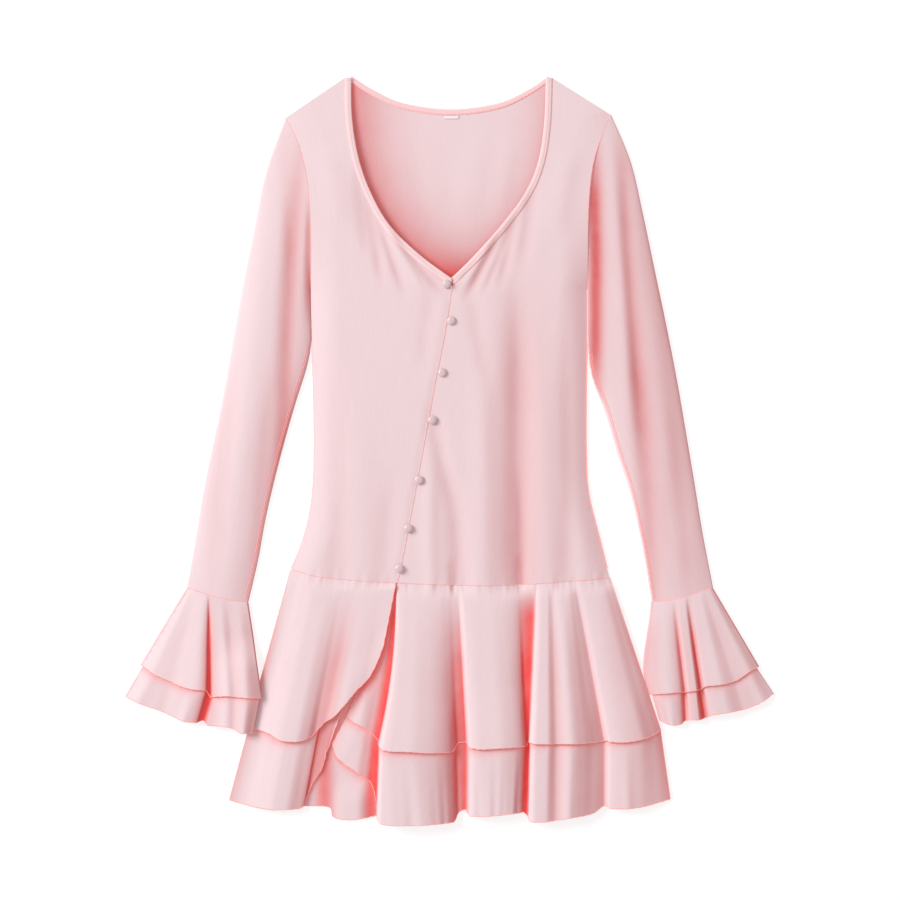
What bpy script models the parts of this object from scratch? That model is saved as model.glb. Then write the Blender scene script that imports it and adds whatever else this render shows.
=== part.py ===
"""Knit dress with a wrap front and a flounced skirt, laid flat on its back.

The neck points to +Y, the front faces up (+Z) and the back rests on z = 0.
Left and right in the names are the wearer's, so the right side lies at -X.
Every size below is in millimetres; the meshes are written in metres.
"""
import math

import bmesh
import bpy

# Driving dimensions

CLOTH = 1.0               # one cloth wall
SEAM = 0.3                # space between pieces at a seam
CURVED_SEAM = 0.6         # the same space along the curved armholes and cuff seams
PLY = CLOTH + SEAM        # one wall and the space under the next
BINDING_WIDTH = 7.0       # folded band round the neck
BINDING_THICKNESS = 1.6
BUTTON_RADIUS = 4.9
BUTTON_HEIGHT = 3.1
LABEL_WIDTH = 16.0
LABEL_DROP = 3.2
LABEL_THICKNESS = 0.6
BACK_INSET = 0.8          # the back keeps this far inside the front's outline
EDGE_REACH = 32.0         # how far in from a side edge the front reaches its full height
ARMHOLE_RISE = 4.0        # how much higher the middle of the armhole lies than its ends
ARMHOLE_Y = (179, 371)    # its lower and upper end

# The front's two overlapping walls lie on either side of one middle surface.
UPPER_PLY = (0.5 * SEAM, 0.5 * SEAM + CLOTH)
LOWER_PLY = (-0.5 * SEAM - CLOTH, -0.5 * SEAM)
WIDE_UPPER_PLY = (0.5, 0.5 + CLOTH)
WIDE_LOWER_PLY = (-0.5 - CLOTH, -0.5)
FRONT_EDGE = PLY + CLOTH + 0.5 * SEAM          # middle surface where a front meets the back
SKIRT_EDGE = 2 * PLY + CLOTH + 0.5 * SEAM      # the same over the two back flounces

# Outline curves, as x and y

WAIST = [(-177, -134), (-141, -143), (-61, -149), (53, -152), (150, -146), (179, -143)]
SIDE_RIGHT = [(-177, -134), (-163, -99), (-154, -58), (-151, -4), (-152, 69), (-154, 130),
              (-155, 185), (-155, 238), (-157, 281), (-161, 313), (-170, 345), (-183, 371)]
SIDE_LEFT = [(179, -143), (169, -103), (156, -50), (153, -4), (153, 69), (154, 130),
             (154, 180), (154, 225), (155, 270), (159, 313), (168, 345), (180, 375)]
BACK_NECK = [(-110, 411.5), (-88, 397), (-52, 381), (2, 374), (55, 381), (90, 397), (111, 411.5)]
SHOULDER_RIGHT, SHOULDER_LEFT = (-120, 405), (118, 407)
CUFF_SEAM_RIGHT = [(-293, -154), (-279, -159), (-260, -165), (-240, -169), (-225, -171)]
CUFF_SEAM_LEFT = [(226, -170), (240, -169), (254, -167), (269, -163), (283, -158), (294, -154)]

# Front panels: a row for each section from waist to shoulder
# side_y (on the side curve), edge_x, edge_y (wrap edge below the V, neck seam above it)

V_ROW = 6
BELOW_V = 2               # sections to each row below the V
ABOVE_V = 3               # and above it
FRONT_RIGHT_ROWS = [
    (-134, -59, -149), (-99, -51, -110), (-58, -42, -62), (-4, -32, -8), (69, -18, 69),
    (130, -6, 130), (180, 2, 183),
    (238, -36, 211), (281, -72, 246), (313, -95, 286), (338, -109, 327), (357, -116, 372),
    (371, -117, 416),
]
FRONT_LEFT_ROWS = [
    (-143, -70, -149), (-103, -62, -110), (-50, -53, -62), (-4, -43, -8), (69, -29, 69),
    (130, -17, 130), (180, 4, 184),
    (225, 29, 208), (270, 64, 247), (308, 91, 284), (335, 106, 320), (357, 113, 364),
    (375, 115, 416),
]

# Height of the front's middle surface above its edges: y, rise
FRONT_RISE = [(-152, 4.6), (-60, 6.0), (60, 6.6), (180, 6.0), (260, 5.0), (330, 3.8), (412, 0.2)]

# Long soft folds of bodice and sleeves: x0, y0, x1, y1, width, rise (below zero is a trough)
FOLDS = [
    (64, 117, 66, -152, 10, -1.0),
    (76, -40, 81, -152, 9, -1.2),
    (3, 55, 3, -152, 9, -1.0),
    (29, 60, 29, -152, 12, 0.6),
    (101, 40, 101, -152, 12, 0.6),
    (-174, 248, -191, -2, 8, -2.4),
    (-213, 178, -235, -2, 11, 1.4),
    (165, 249, 168, 70, 7, -2.4),
    (188, 302, 206, 70, 9, -1.8),
    (206, 70, 222, -108, 9, -2.0),
]

# Sleeves: a row for each section from armhole to cuff
# outer_x, outer_y, inner_x, inner_y, rise
SLEEVE_RIGHT_ROWS = [
    (-183, 371, -155, 179, 4.0), (-204, 312, -155, 152, 5.5), (-216, 255, -155.5, 122, 7.5),
    (-228, 195, -161, 92, 8.5), (-240, 130, -172, 52, 9.0), (-252, 62, -184, 10, 8.5),
    (-264, 5, -196, -36, 8.0), (-274, -44, -206, -80, 7.0), (-284, -105, -214, -124, 6.0),
    (-293, -154, -225, -171, 4.0),
]
SLEEVE_LEFT_ROWS = [
    (180, 375, 154, 179, 4.0), (202, 322, 154.5, 152, 5.5), (216, 262, 155.5, 120, 7.5),
    (229, 200, 162, 80, 8.5), (242, 138, 174, 42, 9.0), (254, 76, 188, -5, 8.5),
    (264, 18, 201, -44, 8.0), (273, -36, 211, -86, 7.0), (283, -97, 219, -127, 6.0),
    (294, -154, 226, -170, 4.0),
]
SLEEVE_FLOOR = 0.5 * CLOTH      # middle of the wall that rests on the floor
SLEEVE_TURN = 1.2               # radius of the folded side edges
ARMHOLE_REACH = 2.5             # rows over which a sleeve's sections straighten out
CUFF_REACH = 2.0                # rows over which they take up the curve of the cuff seam
EDGE_CROWDING = 0.6             # how much closer the points stand towards the side edges
FLOOR_POINTS = 6                # points across the wall that rests on the floor

# Cuff flounces: a row for each fold line from the seam to the two hems
# seam_x, upper_x, upper_y, lower_x, lower_y, height, swell (sideways bow of the line)
CUFF_RIGHT_LINES = [
    (-293, -345, -241, -364, -276, 4.2, 0), (-288, -330, -251, -346, -284, 8.5, 0),
    (-284, -314, -258, -325, -291, 6.5, 0), (-279, -298, -265, -307, -299, 10.5, 0),
    (-275, -284, -268, -295, -304, 12.0, 0), (-271.5, -271, -268.5, -283, -305, 10.5, 0),
    (-268.5, -267.5, -277, -278, -303, 5.2, 0), (-264, -258, -276, -268, -308, 10.0, 0),
    (-256, -247, -275, -254, -309, 12.0, 0), (-247, -237, -276, -240, -312, 7.5, 0),
    (-236, -223, -277, -229, -317, 9.0, 0), (-225, -209, -278, -218, -317, 4.2, 0),
]
CUFF_LEFT_LINES = [
    (226, 224, -274, 234, -304, 4.2, -7), (233, 234, -273, 241, -306, 8.0, -4),
    (240, 246, -272, 250, -308, 9.5, -2), (247, 257, -271, 259, -307, 8.0, 0),
    (251, 263.5, -271, 264, -303, 5.0, 0), (256, 270, -270, 272, -302, 10.0, 0),
    (262, 277, -269, 280, -302, 10.5, 0), (266, 281, -268, 286, -300, 5.2, 0),
    (272, 290, -264, 296, -297, 11.0, 0), (279, 304, -262.5, 312, -294, 12.0, 0),
    (285, 320, -258, 330, -290, 8.5, 0), (290, 334, -249, 348, -283, 8.5, 0),
    (294, 346, -243, 364, -273, 4.2, 0),
]
CUFF_EDGE = 4.2                 # middle surface at the sides
CUFF_SEAM_RISE = 3.0            # and how much higher it is in the middle of the seam
CUFF_TURN = 2.15                # radius of the outer flounce's side edges
INNER_TURN = 0.8                # radius of the inner flounce's side edges
INNER_INSET = 2.6               # how far the inner flounce keeps inside the outer one

# The right cuff rests on the skirt's edge: it lifts by this much between these places.
CUFF_LIFT = 7.2
LIFT_X = (-264, -224)
LIFT_Y = (-205, -245)

# Skirt flounces: a row for each fold line
# seam_x, upper_x, upper_y, lower_x, lower_y, seam height, hem height
SKIRT_LEFT_LINES = [
    (-84, -114, -297, -131, -329, 4.0, 4.2), (-81.5, -109, -304, -128, -341, 4.0, 5.0),
    (-78, -101, -308, -117, -352, 4.0, 6.0), (-73.5, -94, -312, -105, -360, 4.0, 5.5),
    (-68, -88, -316, -94, -367, 4.0, 4.6), (-62.5, -84.5, -321, -87, -372, 4.0, 4.2),
    (-57, -81, -331, -81, -413, 7.0, 19.0), (-50, -68, -335, -63, -418, 7.5, 21.5),
    (-38, -46, -336.5, -41, -419, 7.5, 21.5), (-25, -24, -338, -18, -418, 7.5, 19.0),
    (-13, -7, -338, -4, -417, 7.5, 14.5), (-6, 1, -337, 3, -416, 7.0, 10.0),
    (1, 5, -327.5, 9, -404, 5.5, 5.2), (9, 14, -327, 17, -402.5, 5.2, 4.4),
    (17, 23, -330, 25, -408, 6.5, 9.0), (29, 37, -334, 38, -409, 7.5, 15.0),
    (43, 53, -333, 53, -408, 7.5, 17.0), (56, 69, -332, 66, -406.5, 7.5, 15.0),
    (65, 79, -331.5, 76, -405.5, 7.0, 10.0), (73, 86, -331, 83.5, -405, 4.8, 4.4),
    (82, 91, -327, 86, -412, 5.0, 7.5), (92, 100, -328, 96, -415, 7.5, 17.0),
    (103, 112, -328, 110, -414.5, 7.5, 18.5), (112, 123, -328, 121, -413.5, 6.8, 17.0),
    (123, 137, -328, 136, -411, 7.5, 18.5), (133, 150, -327.5, 150, -409, 7.5, 15.0),
    (141, 161, -327, 162, -406.5, 7.0, 10.0), (147, 170, -325.5, 169, -398, 5.5, 4.8),
    (153, 179, -325, 180, -400, 6.5, 8.5), (161, 194, -326.5, 197, -401, 6.5, 13.5),
    (169, 212, -324, 215, -399, 5.8, 12.0), (175, 226, -320, 232, -395, 4.6, 7.5),
    (179, 236, -314, 247, -391, SKIRT_EDGE, SKIRT_EDGE),
]
# How far the underlap's first lines bow towards the fold
UNDERLAP_SWELL = (10, 7, 4, 2)
# seam_x, hem_x, hem_y, seam height, hem height
SKIRT_RIGHT_UPPER_LINES = [
    (-177, -226, -311, 4.3, 4.3), (-168, -214, -313, 5.6, 5.3), (-158, -200, -318, 7.5, 9.5),
    (-147, -187, -325, 8.8, 13.0), (-136, -173, -326, 8.8, 13.0), (-126, -160, -323, 8.8, 10.0),
    (-117, -150, -316, 8.8, 8.6), (-108, -140, -305, 8.8, 8.8), (-99, -130, -299, 8.8, 9.6),
    (-91, -118, -286, 8.8, 9.6), (-82, -104, -269, 8.8, 9.0), (-74, -91, -256, 8.8, 8.8),
    (-67, -82, -240, 8.8, 8.8), (-60, -74, -220, 8.8, 8.8),
]
SKIRT_RIGHT_LOWER_LINES = [
    (-177, -246, -392, 4.3, 4.3), (-168, -231, -396, 5.6, 5.6), (-158, -214, -400, 7.5, 10.0),
    (-147, -197, -402, 8.8, 13.5), (-136, -183, -402, 8.8, 13.0), (-126, -171, -401.5, 8.8, 10.0),
    (-117, -163, -399, 8.8, 8.0), (-110, -160, -390, 8.8, 6.0), (-104, -155, -377, 8.8, 5.6),
    (-98, -149, -366, 8.8, 5.6), (-92, -145, -361, 8.8, 5.6), (-88, -141, -352, 8.8, 5.6),
    (-84, -135.5, -333, 8.8, 5.8), (-81, -129.5, -314, 8.8, 6.4), (-78, -123, -297, 8.8, 8.0),
    (-75, -114, -279, 8.8, 8.8), (-72, -104, -257, 8.8, 8.8), (-69, -92, -230, 8.8, 8.8),
    (-65, -80, -195, 8.8, 8.8),
]
# seam_x, hem_x, hem_y
BACK_UPPER_LINES = [
    (-176, -224, -309), (-158, -200, -314), (-140, -178, -318), (-100, -125, -322),
    (-55, -68, -324), (0, 0, -324), (55, 68, -322), (100, 128, -320), (142, 180, -316), (178, 234, -312),
]
BACK_LOWER_LINES = [
    (-176, -244, -390), (-150, -205, -397), (-125, -166, -398.5), (-107, -135, -400),
    (-101, -130, -411), (-90, -112, -414), (-78, -94, -412), (-66, -80, -409), (-50, -58, -404),
    (-20, -20, -402), (15, 15, -398), (60, 62, -400), (100, 110, -402), (140, 163, -396),
    (165, 215, -391), (178, 245, -389),
]
# A rounded wave of the back hem that shows in the slit: middle x, half width, from y, rise
SLIT_WAVE = (-111, 17, -385, 3.0)

# Buttons from the neck to the waist: x, y
BUTTONS = [(-3, 185), (2, 144), (-8, 86), (-19, 33), (-34, -34), (-46, -88), (-56, -133)]

COLOURS = {
    "knit": (0.88, 0.68, 0.70),
    "binding": (0.86, 0.62, 0.65),
    "button": (0.82, 0.74, 0.75),
    "label": (0.93, 0.93, 0.93),
}


def linear(colour):
    """Turn a display colour into the linear one a shader takes."""
    return [((c + 0.055) / 1.055) ** 2.4 for c in colour] + [1.0]


def finish(name):
    """Make a plain matt finish."""
    material = bpy.data.materials.new(name)
    material.use_nodes = True
    shader = material.node_tree.nodes["Principled BSDF"]
    shader.inputs["Base Color"].default_value = linear(COLOURS[name])
    shader.inputs["Roughness"].default_value = 0.45 if name == "button" else 0.85
    shader.inputs["Metallic"].default_value = 0.0
    return material


def clamp(t):
    return min(1.0, max(0.0, t))


def ease(t):
    """A smooth step from 0 to 1."""
    t = clamp(t)
    return t * t * (3 - 2 * t)


def mix(a, b, t):
    return a + (b - a) * t


def between(rows, u, corner=None):
    """Read a table of rows at a row number that may lie between two rows, on a smooth curve.

    The curve turns sharply at the corner row, when there is one.
    """
    first, last = 0, len(rows) - 1
    if corner is not None:
        first, last = (0, corner) if u <= corner else (corner, last)
    i = min(int(u), last - 1)
    i = max(i, first)
    t = u - i
    before, start = rows[max(i - 1, first)], rows[i]
    end, after = rows[i + 1], rows[min(i + 2, last)]
    values = []
    for a, b, c, d in zip(before, start, end, after):
        values.append(0.5 * (2 * b + (c - a) * t + (2 * a - 5 * b + 4 * c - d) * t ** 2
                             + (3 * b - a - 3 * c + d) * t ** 3))
    return values


def curve_at(points, value, axis):
    """Read the other coordinate of a curve where the given axis has this value."""
    other = 1 - axis
    rising = points[-1][axis] > points[0][axis]
    low, high = 0.0, float(len(points) - 1)
    for _ in range(30):
        middle = 0.5 * (low + high)
        if (between(points, middle)[axis] < value) == rising:
            low = middle
        else:
            high = middle
    return between(points, low)[other]


def waist_y(x):
    return curve_at(WAIST, x, 0)


def side_x(side, y):
    return curve_at(side, y, 1)


def fold_rise(x, y):
    """Add up the soft folds that pass near a place."""
    rise = 0.0
    for x0, y0, x1, y1, width, height in FOLDS:
        length = math.hypot(x1 - x0, y1 - y0)
        along = ((x - x0) * (x1 - x0) + (y - y0) * (y1 - y0)) / length
        across = ((x - x0) * (y1 - y0) - (y - y0) * (x1 - x0)) / length
        ends = ease((along + width) / (4 * width)) * ease((length + width - along) / (2 * width))
        rise += height * ends * math.exp(-(across / width) ** 2)
    return rise


def front_height(x, y):
    """Height of the front's middle surface, low at the sides and the shoulders."""
    low_y, high_y = FRONT_RISE[0][0], FRONT_RISE[-1][0]
    rise = curve_at(FRONT_RISE, min(max(y, low_y), high_y), 0)
    right = side_x(SIDE_RIGHT, min(max(y, -134), 371))
    left = side_x(SIDE_LEFT, min(max(y, -143), 375))
    inside = clamp(min(x - right, left - x) / EDGE_REACH)
    round_off = math.sin(0.5 * math.pi * inside)
    up = clamp((y - ARMHOLE_Y[0]) / (ARMHOLE_Y[1] - ARMHOLE_Y[0]))
    at_armhole = ARMHOLE_RISE * math.sin(math.pi * up) ** 0.8 * (1 - round_off)
    return FRONT_EDGE + at_armhole + round_off * (rise + fold_rise(x, y))


def offsets(row, direction, closed):
    """Give each point of a section its outward direction, lengthened where the section turns."""
    count = len(row)
    result = []
    for i, point in enumerate(row):
        steps = []
        for a, b in ((i - 1, i), (i, i + 1)):
            if not closed and (a < 0 or b >= count):
                continue
            start, end = row[a % count], row[b % count]
            run = (end[0] - start[0]) * direction[0] + (end[1] - start[1]) * direction[1]
            lift = end[2] - start[2]
            size = math.hypot(run, lift) or 1.0
            steps.append((run / size, lift / size))
        run = sum(step[0] for step in steps)
        lift = sum(step[1] for step in steps)
        size = math.hypot(run, lift)
        run, lift = run / size, lift / size
        stretch = 1.0 / max(0.66, run * steps[0][0] + lift * steps[0][1])
        result.append((-lift * direction[0] * stretch, -lift * direction[1] * stretch,
                       run * stretch))
    return result


def moved(point, offset, distance):
    return tuple(p + o * distance for p, o in zip(point, offset))


def add_object(name, points, faces, material):
    """Make a mesh object from points in millimetres."""
    mesh = bpy.data.meshes.new(name)
    mesh.from_pydata([[c * 0.001 for c in point] for point in points], [], faces)
    mesh.materials.append(material)
    shape = bmesh.new()
    shape.from_mesh(mesh)
    bmesh.ops.recalc_face_normals(shape, faces=shape.faces)
    bmesh.ops.triangulate(shape, faces=shape.faces)
    shape.to_mesh(mesh)
    shape.free()
    mesh.shade_smooth()
    mesh.set_sharp_from_angle(angle=math.radians(50))
    thing = bpy.data.objects.new(name, mesh)
    bpy.context.scene.collection.objects.link(thing)
    return thing


def cloth_wall(name, grid, ply, material, direction=(1, 0)):
    """Turn a grid of middle points into a closed wall between the two heights of a ply."""
    rows, columns = len(grid), len(grid[0])
    points = []
    for side in (1, 0):
        for row in grid:
            outward = offsets(row, direction, closed=False)
            points += [moved(p, n, ply[side]) for p, n in zip(row, outward)]
    faces = []
    under = rows * columns
    for r in range(rows - 1):
        for c in range(columns - 1):
            a, b = r * columns + c, r * columns + c + 1
            d, e = a + columns, b + columns
            faces.append((a, b, e, d))
            faces.append((under + d, under + e, under + b, under + a))
    rim = list(range(columns))
    rim += [r * columns + columns - 1 for r in range(1, rows)]
    rim += [(rows - 1) * columns + c for c in range(columns - 2, -1, -1)]
    rim += [r * columns for r in range(rows - 2, 0, -1)]
    for a, b in zip(rim, rim[1:] + rim[:1]):
        faces.append((b, a, under + a, under + b))
    return add_object(name, points, faces, material)


def cloth_tube(name, rings, directions, material):
    """Turn rings of middle points into a closed wall round an open tube."""
    count, length = len(rings[0]), len(rings)
    points = []
    for side in (0.5 * CLOTH, -0.5 * CLOTH):
        for ring, direction in zip(rings, directions):
            outward = offsets(ring, direction, closed=True)
            points += [moved(p, n, side) for p, n in zip(ring, outward)]
    inside = count * length
    faces = []
    for r in range(length - 1):
        for c in range(count):
            a, b = r * count + c, r * count + (c + 1) % count
            faces.append((a, b, b + count, a + count))
            faces.append((inside + a + count, inside + b + count, inside + b, inside + a))
    last = (length - 1) * count
    for c in range(count):
        b = (c + 1) % count
        faces.append((b, c, inside + c, inside + b))
        faces.append((last + c, last + b, inside + last + b, inside + last + c))
    return add_object(name, points, faces, material)


def ring_round(top, turn, floor):
    """Close a section: its top points, a folded edge at each end and a flat bottom.

    The section's end points are the outermost ones. Returns the ring and its direction.
    """
    left, right = top[0], top[-1]
    length = math.hypot(right[0] - left[0], right[1] - left[1])
    way = ((right[0] - left[0]) / length, (right[1] - left[1]) / length)
    ring = [(left[0], left[1], 0.5 * (left[2] + floor[0]))]
    ring.append((left[0] + way[0] * turn, left[1] + way[1] * turn, left[2]))
    ring += top[1:-1]
    ring.append((right[0] - way[0] * turn, right[1] - way[1] * turn, right[2]))
    ring.append((right[0], right[1], 0.5 * (right[2] + floor[-1])))
    steps = len(floor) - 1
    for i in range(steps, -1, -1):
        inset = turn if i == 0 else (-turn if i == steps else 0.0)
        t = i / steps
        along = t * length + inset
        bow = floor_bow(top, t)
        ring.append((left[0] + way[0] * along + bow[0], left[1] + way[1] * along + bow[1],
                     floor[i]))
    return ring, way


def floor_bow(top, t):
    """How far the section's line strays from its chord, so that the bottom follows the top."""
    chord = [mix(top[0][axis], top[-1][axis], t) for axis in (0, 1)]
    way = (top[-1][0] - top[0][0], top[-1][1] - top[0][1])
    size = way[0] ** 2 + way[1] ** 2
    reach = []
    for point in top:
        reach.append(((point[0] - top[0][0]) * way[0] + (point[1] - top[0][1]) * way[1]) / size)
    for i in range(len(top) - 1):
        if reach[i] <= t <= reach[i + 1]:
            local = (t - reach[i]) / max(reach[i + 1] - reach[i], 1e-9)
            place = [mix(top[i][axis], top[i + 1][axis], local) for axis in (0, 1)]
            return (place[0] - chord[0], place[1] - chord[1])
    return (0.0, 0.0)


def stations(rows):
    """Row numbers of a front's sections, closer above the V than below it."""
    below = [i / BELOW_V for i in range(V_ROW * BELOW_V)]
    above = [V_ROW + i / ABOVE_V for i in range((len(rows) - 1 - V_ROW) * ABOVE_V + 1)]
    return below + above


def front_panel(name, rows, side, ply, material, across=11):
    """A front: rows run from the side edge to the wrap edge or the neck seam."""
    grid = []
    for u in stations(rows):
        side_y, edge_x, edge_y = between(rows, u, V_ROW)
        start_x = side_x(side, side_y)
        line = []
        for c in range(across):
            t = c / (across - 1)
            s = mix(t, t * t, 0.45)
            x, y = mix(start_x, edge_x, s), mix(side_y, edge_y, s)
            y += (waist_y(x) - y) * clamp(1 - u)
            line.append((x, y, front_height(x, y)))
        if side is SIDE_LEFT:
            line.reverse()
        grid.append(line)
    return cloth_wall(name, grid, ply, material)


def front_binding(name, rows, side, start, low, material):
    """The folded band along a front's neck seam, from near the V to the shoulder."""
    turn = 1 if side is SIDE_RIGHT else -1
    grid, ways = [], []
    last = len(rows) - 1
    for u in [start] + [u for u in stations(rows) if u > start + 0.05]:
        near = between(rows, max(V_ROW + 0.001, u - 0.05), V_ROW)
        far = between(rows, min(last, u + 0.05), V_ROW)
        run = (far[1] - near[1], far[2] - near[2])
        size = math.hypot(*run)
        way = (turn * run[1] / size, -turn * run[0] / size)
        seam_x, seam_y = between(rows, u, V_ROW)[1:]
        line = []
        for distance in (SEAM, 0.5 * BINDING_WIDTH, BINDING_WIDTH):
            x, y = seam_x + way[0] * distance, seam_y + way[1] * distance
            line.append((x, y, front_height(x, y)))
        grid.append(line)
        ways.append(way)
    middle = ways[len(ways) // 2]
    return cloth_wall(name, grid, (low, low + BINDING_THICKNESS), material, middle)


def plate(name, outline, low, high, material):
    """A flat piece of cloth with this outline."""
    count = len(outline)
    points = [(x, y, low) for x, y in outline] + [(x, y, high) for x, y in outline]
    faces = [list(range(count))[::-1], list(range(count, 2 * count))]
    faces += [(i, (i + 1) % count, count + (i + 1) % count, count + i) for i in range(count)]
    return add_object(name, points, faces, material)


def sampled(points, steps):
    """Points along a smooth curve through the given ones."""
    count = (len(points) - 1) * steps
    return [tuple(between(points, i / steps)) for i in range(count + 1)]


def back_bodice(material):
    """The back lies flat; its neck edge leaves room for the binding."""
    right = [(x + BACK_INSET, y) for x, y in sampled(SIDE_RIGHT, 2)]
    left = [(x - BACK_INSET, y) for x, y in sampled(SIDE_LEFT, 2)]
    neck = [(x, y - SEAM) for x, y in sampled(BACK_NECK, 3)]
    waist = [(x, y + BACK_INSET) for x, y in sampled(WAIST, 3)[1:-1]]
    outline = waist + left + [SHOULDER_LEFT] + neck[::-1] + [SHOULDER_RIGHT] + right[::-1]
    return plate("back_bodice", outline, 0.0, CLOTH, material)


def back_binding(material):
    """The folded band along the back neck."""
    line = sampled(BACK_NECK, 3)
    grid = []
    for x, y in line:
        grid.append([(x, y + SEAM), (x, y + 0.5 * BINDING_WIDTH), (x, y + BINDING_WIDTH)])
    outline = [row[0] for row in grid] + [row[2] for row in reversed(grid)]
    return plate("neck_binding_back", outline, 0.0, CLOTH, material)


def neck_label(material):
    """A blank tab that hangs from the back binding."""
    top = BACK_NECK[3][1] - SEAM
    x0, x1 = BACK_NECK[3][0] - 0.5 * LABEL_WIDTH, BACK_NECK[3][0] + 0.5 * LABEL_WIDTH
    outline = [(x0, top - LABEL_DROP), (x1, top - LABEL_DROP), (x1, top), (x0, top)]
    low = CLOTH + SEAM
    return plate("neck_label", outline, low, low + LABEL_THICKNESS, material)


def sleeve(name, rows, armhole, cuff_seam, outward, material, steps=2, across=11):
    """A flattened sleeve: its bottom rests on the floor and its top swells softly."""
    rings, ways = [], []
    last = len(rows) - 1
    count = last * steps
    for r in range(count + 1):
        u = r / steps
        outer_x, outer_y, inner_x, inner_y, rise = between(rows, u)
        top = []
        for c in range(across):
            even = c / (across - 1)
            s = mix(even, 0.5 - 0.5 * math.cos(math.pi * even), EDGE_CROWDING)
            x, y = mix(outer_x, inner_x, s), mix(outer_y, inner_y, s)
            at_armhole = clamp(1 - u / ARMHOLE_REACH) ** 2
            y0 = mix(rows[0][1], rows[0][3], s)
            x0 = mix(rows[0][0], rows[0][2], s)
            x += at_armhole * (side_x(armhole, y0) - x0) + outward * CURVED_SEAM
            at_cuff = clamp(1 - (last - u) / CUFF_REACH) ** 2
            end_x = mix(rows[-1][0], rows[-1][2], s)
            end_y = mix(rows[-1][1], rows[-1][3], s)
            y += at_cuff * (curve_at(cuff_seam, end_x, 0) - end_y)
            swell = math.sin(math.pi * s) ** 0.8
            z = SLEEVE_FLOOR + 2 * SLEEVE_TURN + swell * rise
            z += swell * fold_rise(x, y)
            top.append((x, y, z))
        if outward > 0:
            top.reverse()
        floor = [SLEEVE_FLOOR] * FLOOR_POINTS
        ring, way = ring_round(top, SLEEVE_TURN, floor)
        rings.append(ring)
        ways.append(way)
    return cloth_tube(name, rings, ways, material)


def cuff_lift(x, y):
    """The right cuff climbs onto the skirt's edge."""
    over = ease((x - LIFT_X[0]) / (LIFT_X[1] - LIFT_X[0]))
    down = ease((LIFT_Y[0] - y) / (LIFT_Y[0] - LIFT_Y[1]))
    return CUFF_LIFT * over * down if x < 0 else 0.0


def cuff(name, lines, seam, inner, material, steps=5, more_steps=2):
    """One of a cuff's two nested flounces. The inner one runs on to the lower hem."""
    rings, ways = [], []
    count = steps + (more_steps if inner else 0)
    last = len(lines) - 1
    for r in range(count + 1):
        top = []
        for k, (seam_x, up_x, up_y, low_x, low_y, height, swell) in enumerate(lines):
            seam_y = curve_at(seam, seam_x, 0) - CURVED_SEAM
            t = r / steps
            if t <= 1:
                x = mix(seam_x, up_x, t) + swell * 4 * t * (1 - t)
                y = mix(seam_y, up_y, t)
            else:
                x = mix(up_x, low_x, (r - steps) / more_steps)
                y = mix(up_y, low_y, (r - steps) / more_steps)
            start = CUFF_EDGE + CUFF_SEAM_RISE * math.sin(math.pi * k / last)
            top.append((x, y, mix(start, height, clamp(t) ** 0.8)))
        run = (top[-1][0] - top[0][0], top[-1][1] - top[0][1])
        size = math.hypot(*run)
        outward = offsets(top, (run[0] / size, run[1] / size), closed=False)
        ply = -0.5 * PLY if inner else 0.5 * PLY
        top = [list(moved(p, n, ply)) for p, n in zip(top, outward)]
        if inner:
            inset = INNER_INSET * (1 - 0.6 * clamp((r - steps) / more_steps))
            for end, neighbour in ((0, 1), (-1, -2)):
                run = (top[neighbour][0] - top[end][0], top[neighbour][1] - top[end][1])
                part = inset / math.hypot(*run)
                top[end][0] += run[0] * part
                top[end][1] += run[1] * part
            top[0][2] = top[-1][2] = 0.5 * CLOTH + PLY + 2 * INNER_TURN
        else:
            top[0][2] = top[-1][2] = 0.5 * CLOTH + 2 * CUFF_TURN
        lowest = 0.5 * CLOTH + (PLY if inner else 0.0)
        top = [tuple(point) for point in top]
        ring, way = ring_round(top, INNER_TURN if inner else CUFF_TURN, [lowest] * (FLOOR_POINTS + 3))
        ring = [(x, y, z + cuff_lift(x, y)) for x, y, z in ring]
        rings.append(ring)
        ways.append(way)
    return cloth_tube(name, rings, ways, material)


def skirt_left(name, ply, lower, material, steps=6, more_steps=3):
    """A left front flounce with the underlap past its folded edge."""
    grid = []
    count = steps + (more_steps if lower else 0)
    for r in range(count + 1):
        line = []
        for k, (seam_x, up_x, up_y, low_x, low_y, seam_z, hem_z) in enumerate(SKIRT_LEFT_LINES):
            seam_y = waist_y(seam_x) - SEAM
            swell = UNDERLAP_SWELL[k] if k < len(UNDERLAP_SWELL) else 0.0
            t = r / steps
            if t <= 1:
                x = mix(seam_x, up_x, t) + swell * 4 * t * (1 - t)
                y = mix(seam_y, up_y, t)
            else:
                x = mix(up_x, low_x, (r - steps) / more_steps)
                y = mix(up_y, low_y, (r - steps) / more_steps)
            line.append((x, y, mix(seam_z, hem_z, clamp(t) ** 0.85)))
        grid.append(line)
    return cloth_wall(name, grid, ply, material)


def skirt_right(name, lines, ply, material, steps=8):
    """A right front flounce, whose hem runs up into the curved wrap edge."""
    grid = []
    for r in range(steps + 1):
        line = []
        for seam_x, hem_x, hem_y, seam_z, hem_z in lines:
            t = r / steps
            seam_y = waist_y(seam_x) - SEAM
            height = mix(seam_z, hem_z, t)
            line.append((mix(seam_x, hem_x, t), mix(seam_y, hem_y, t), height))
        grid.append(line)
    return cloth_wall(name, grid, ply, material)


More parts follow.
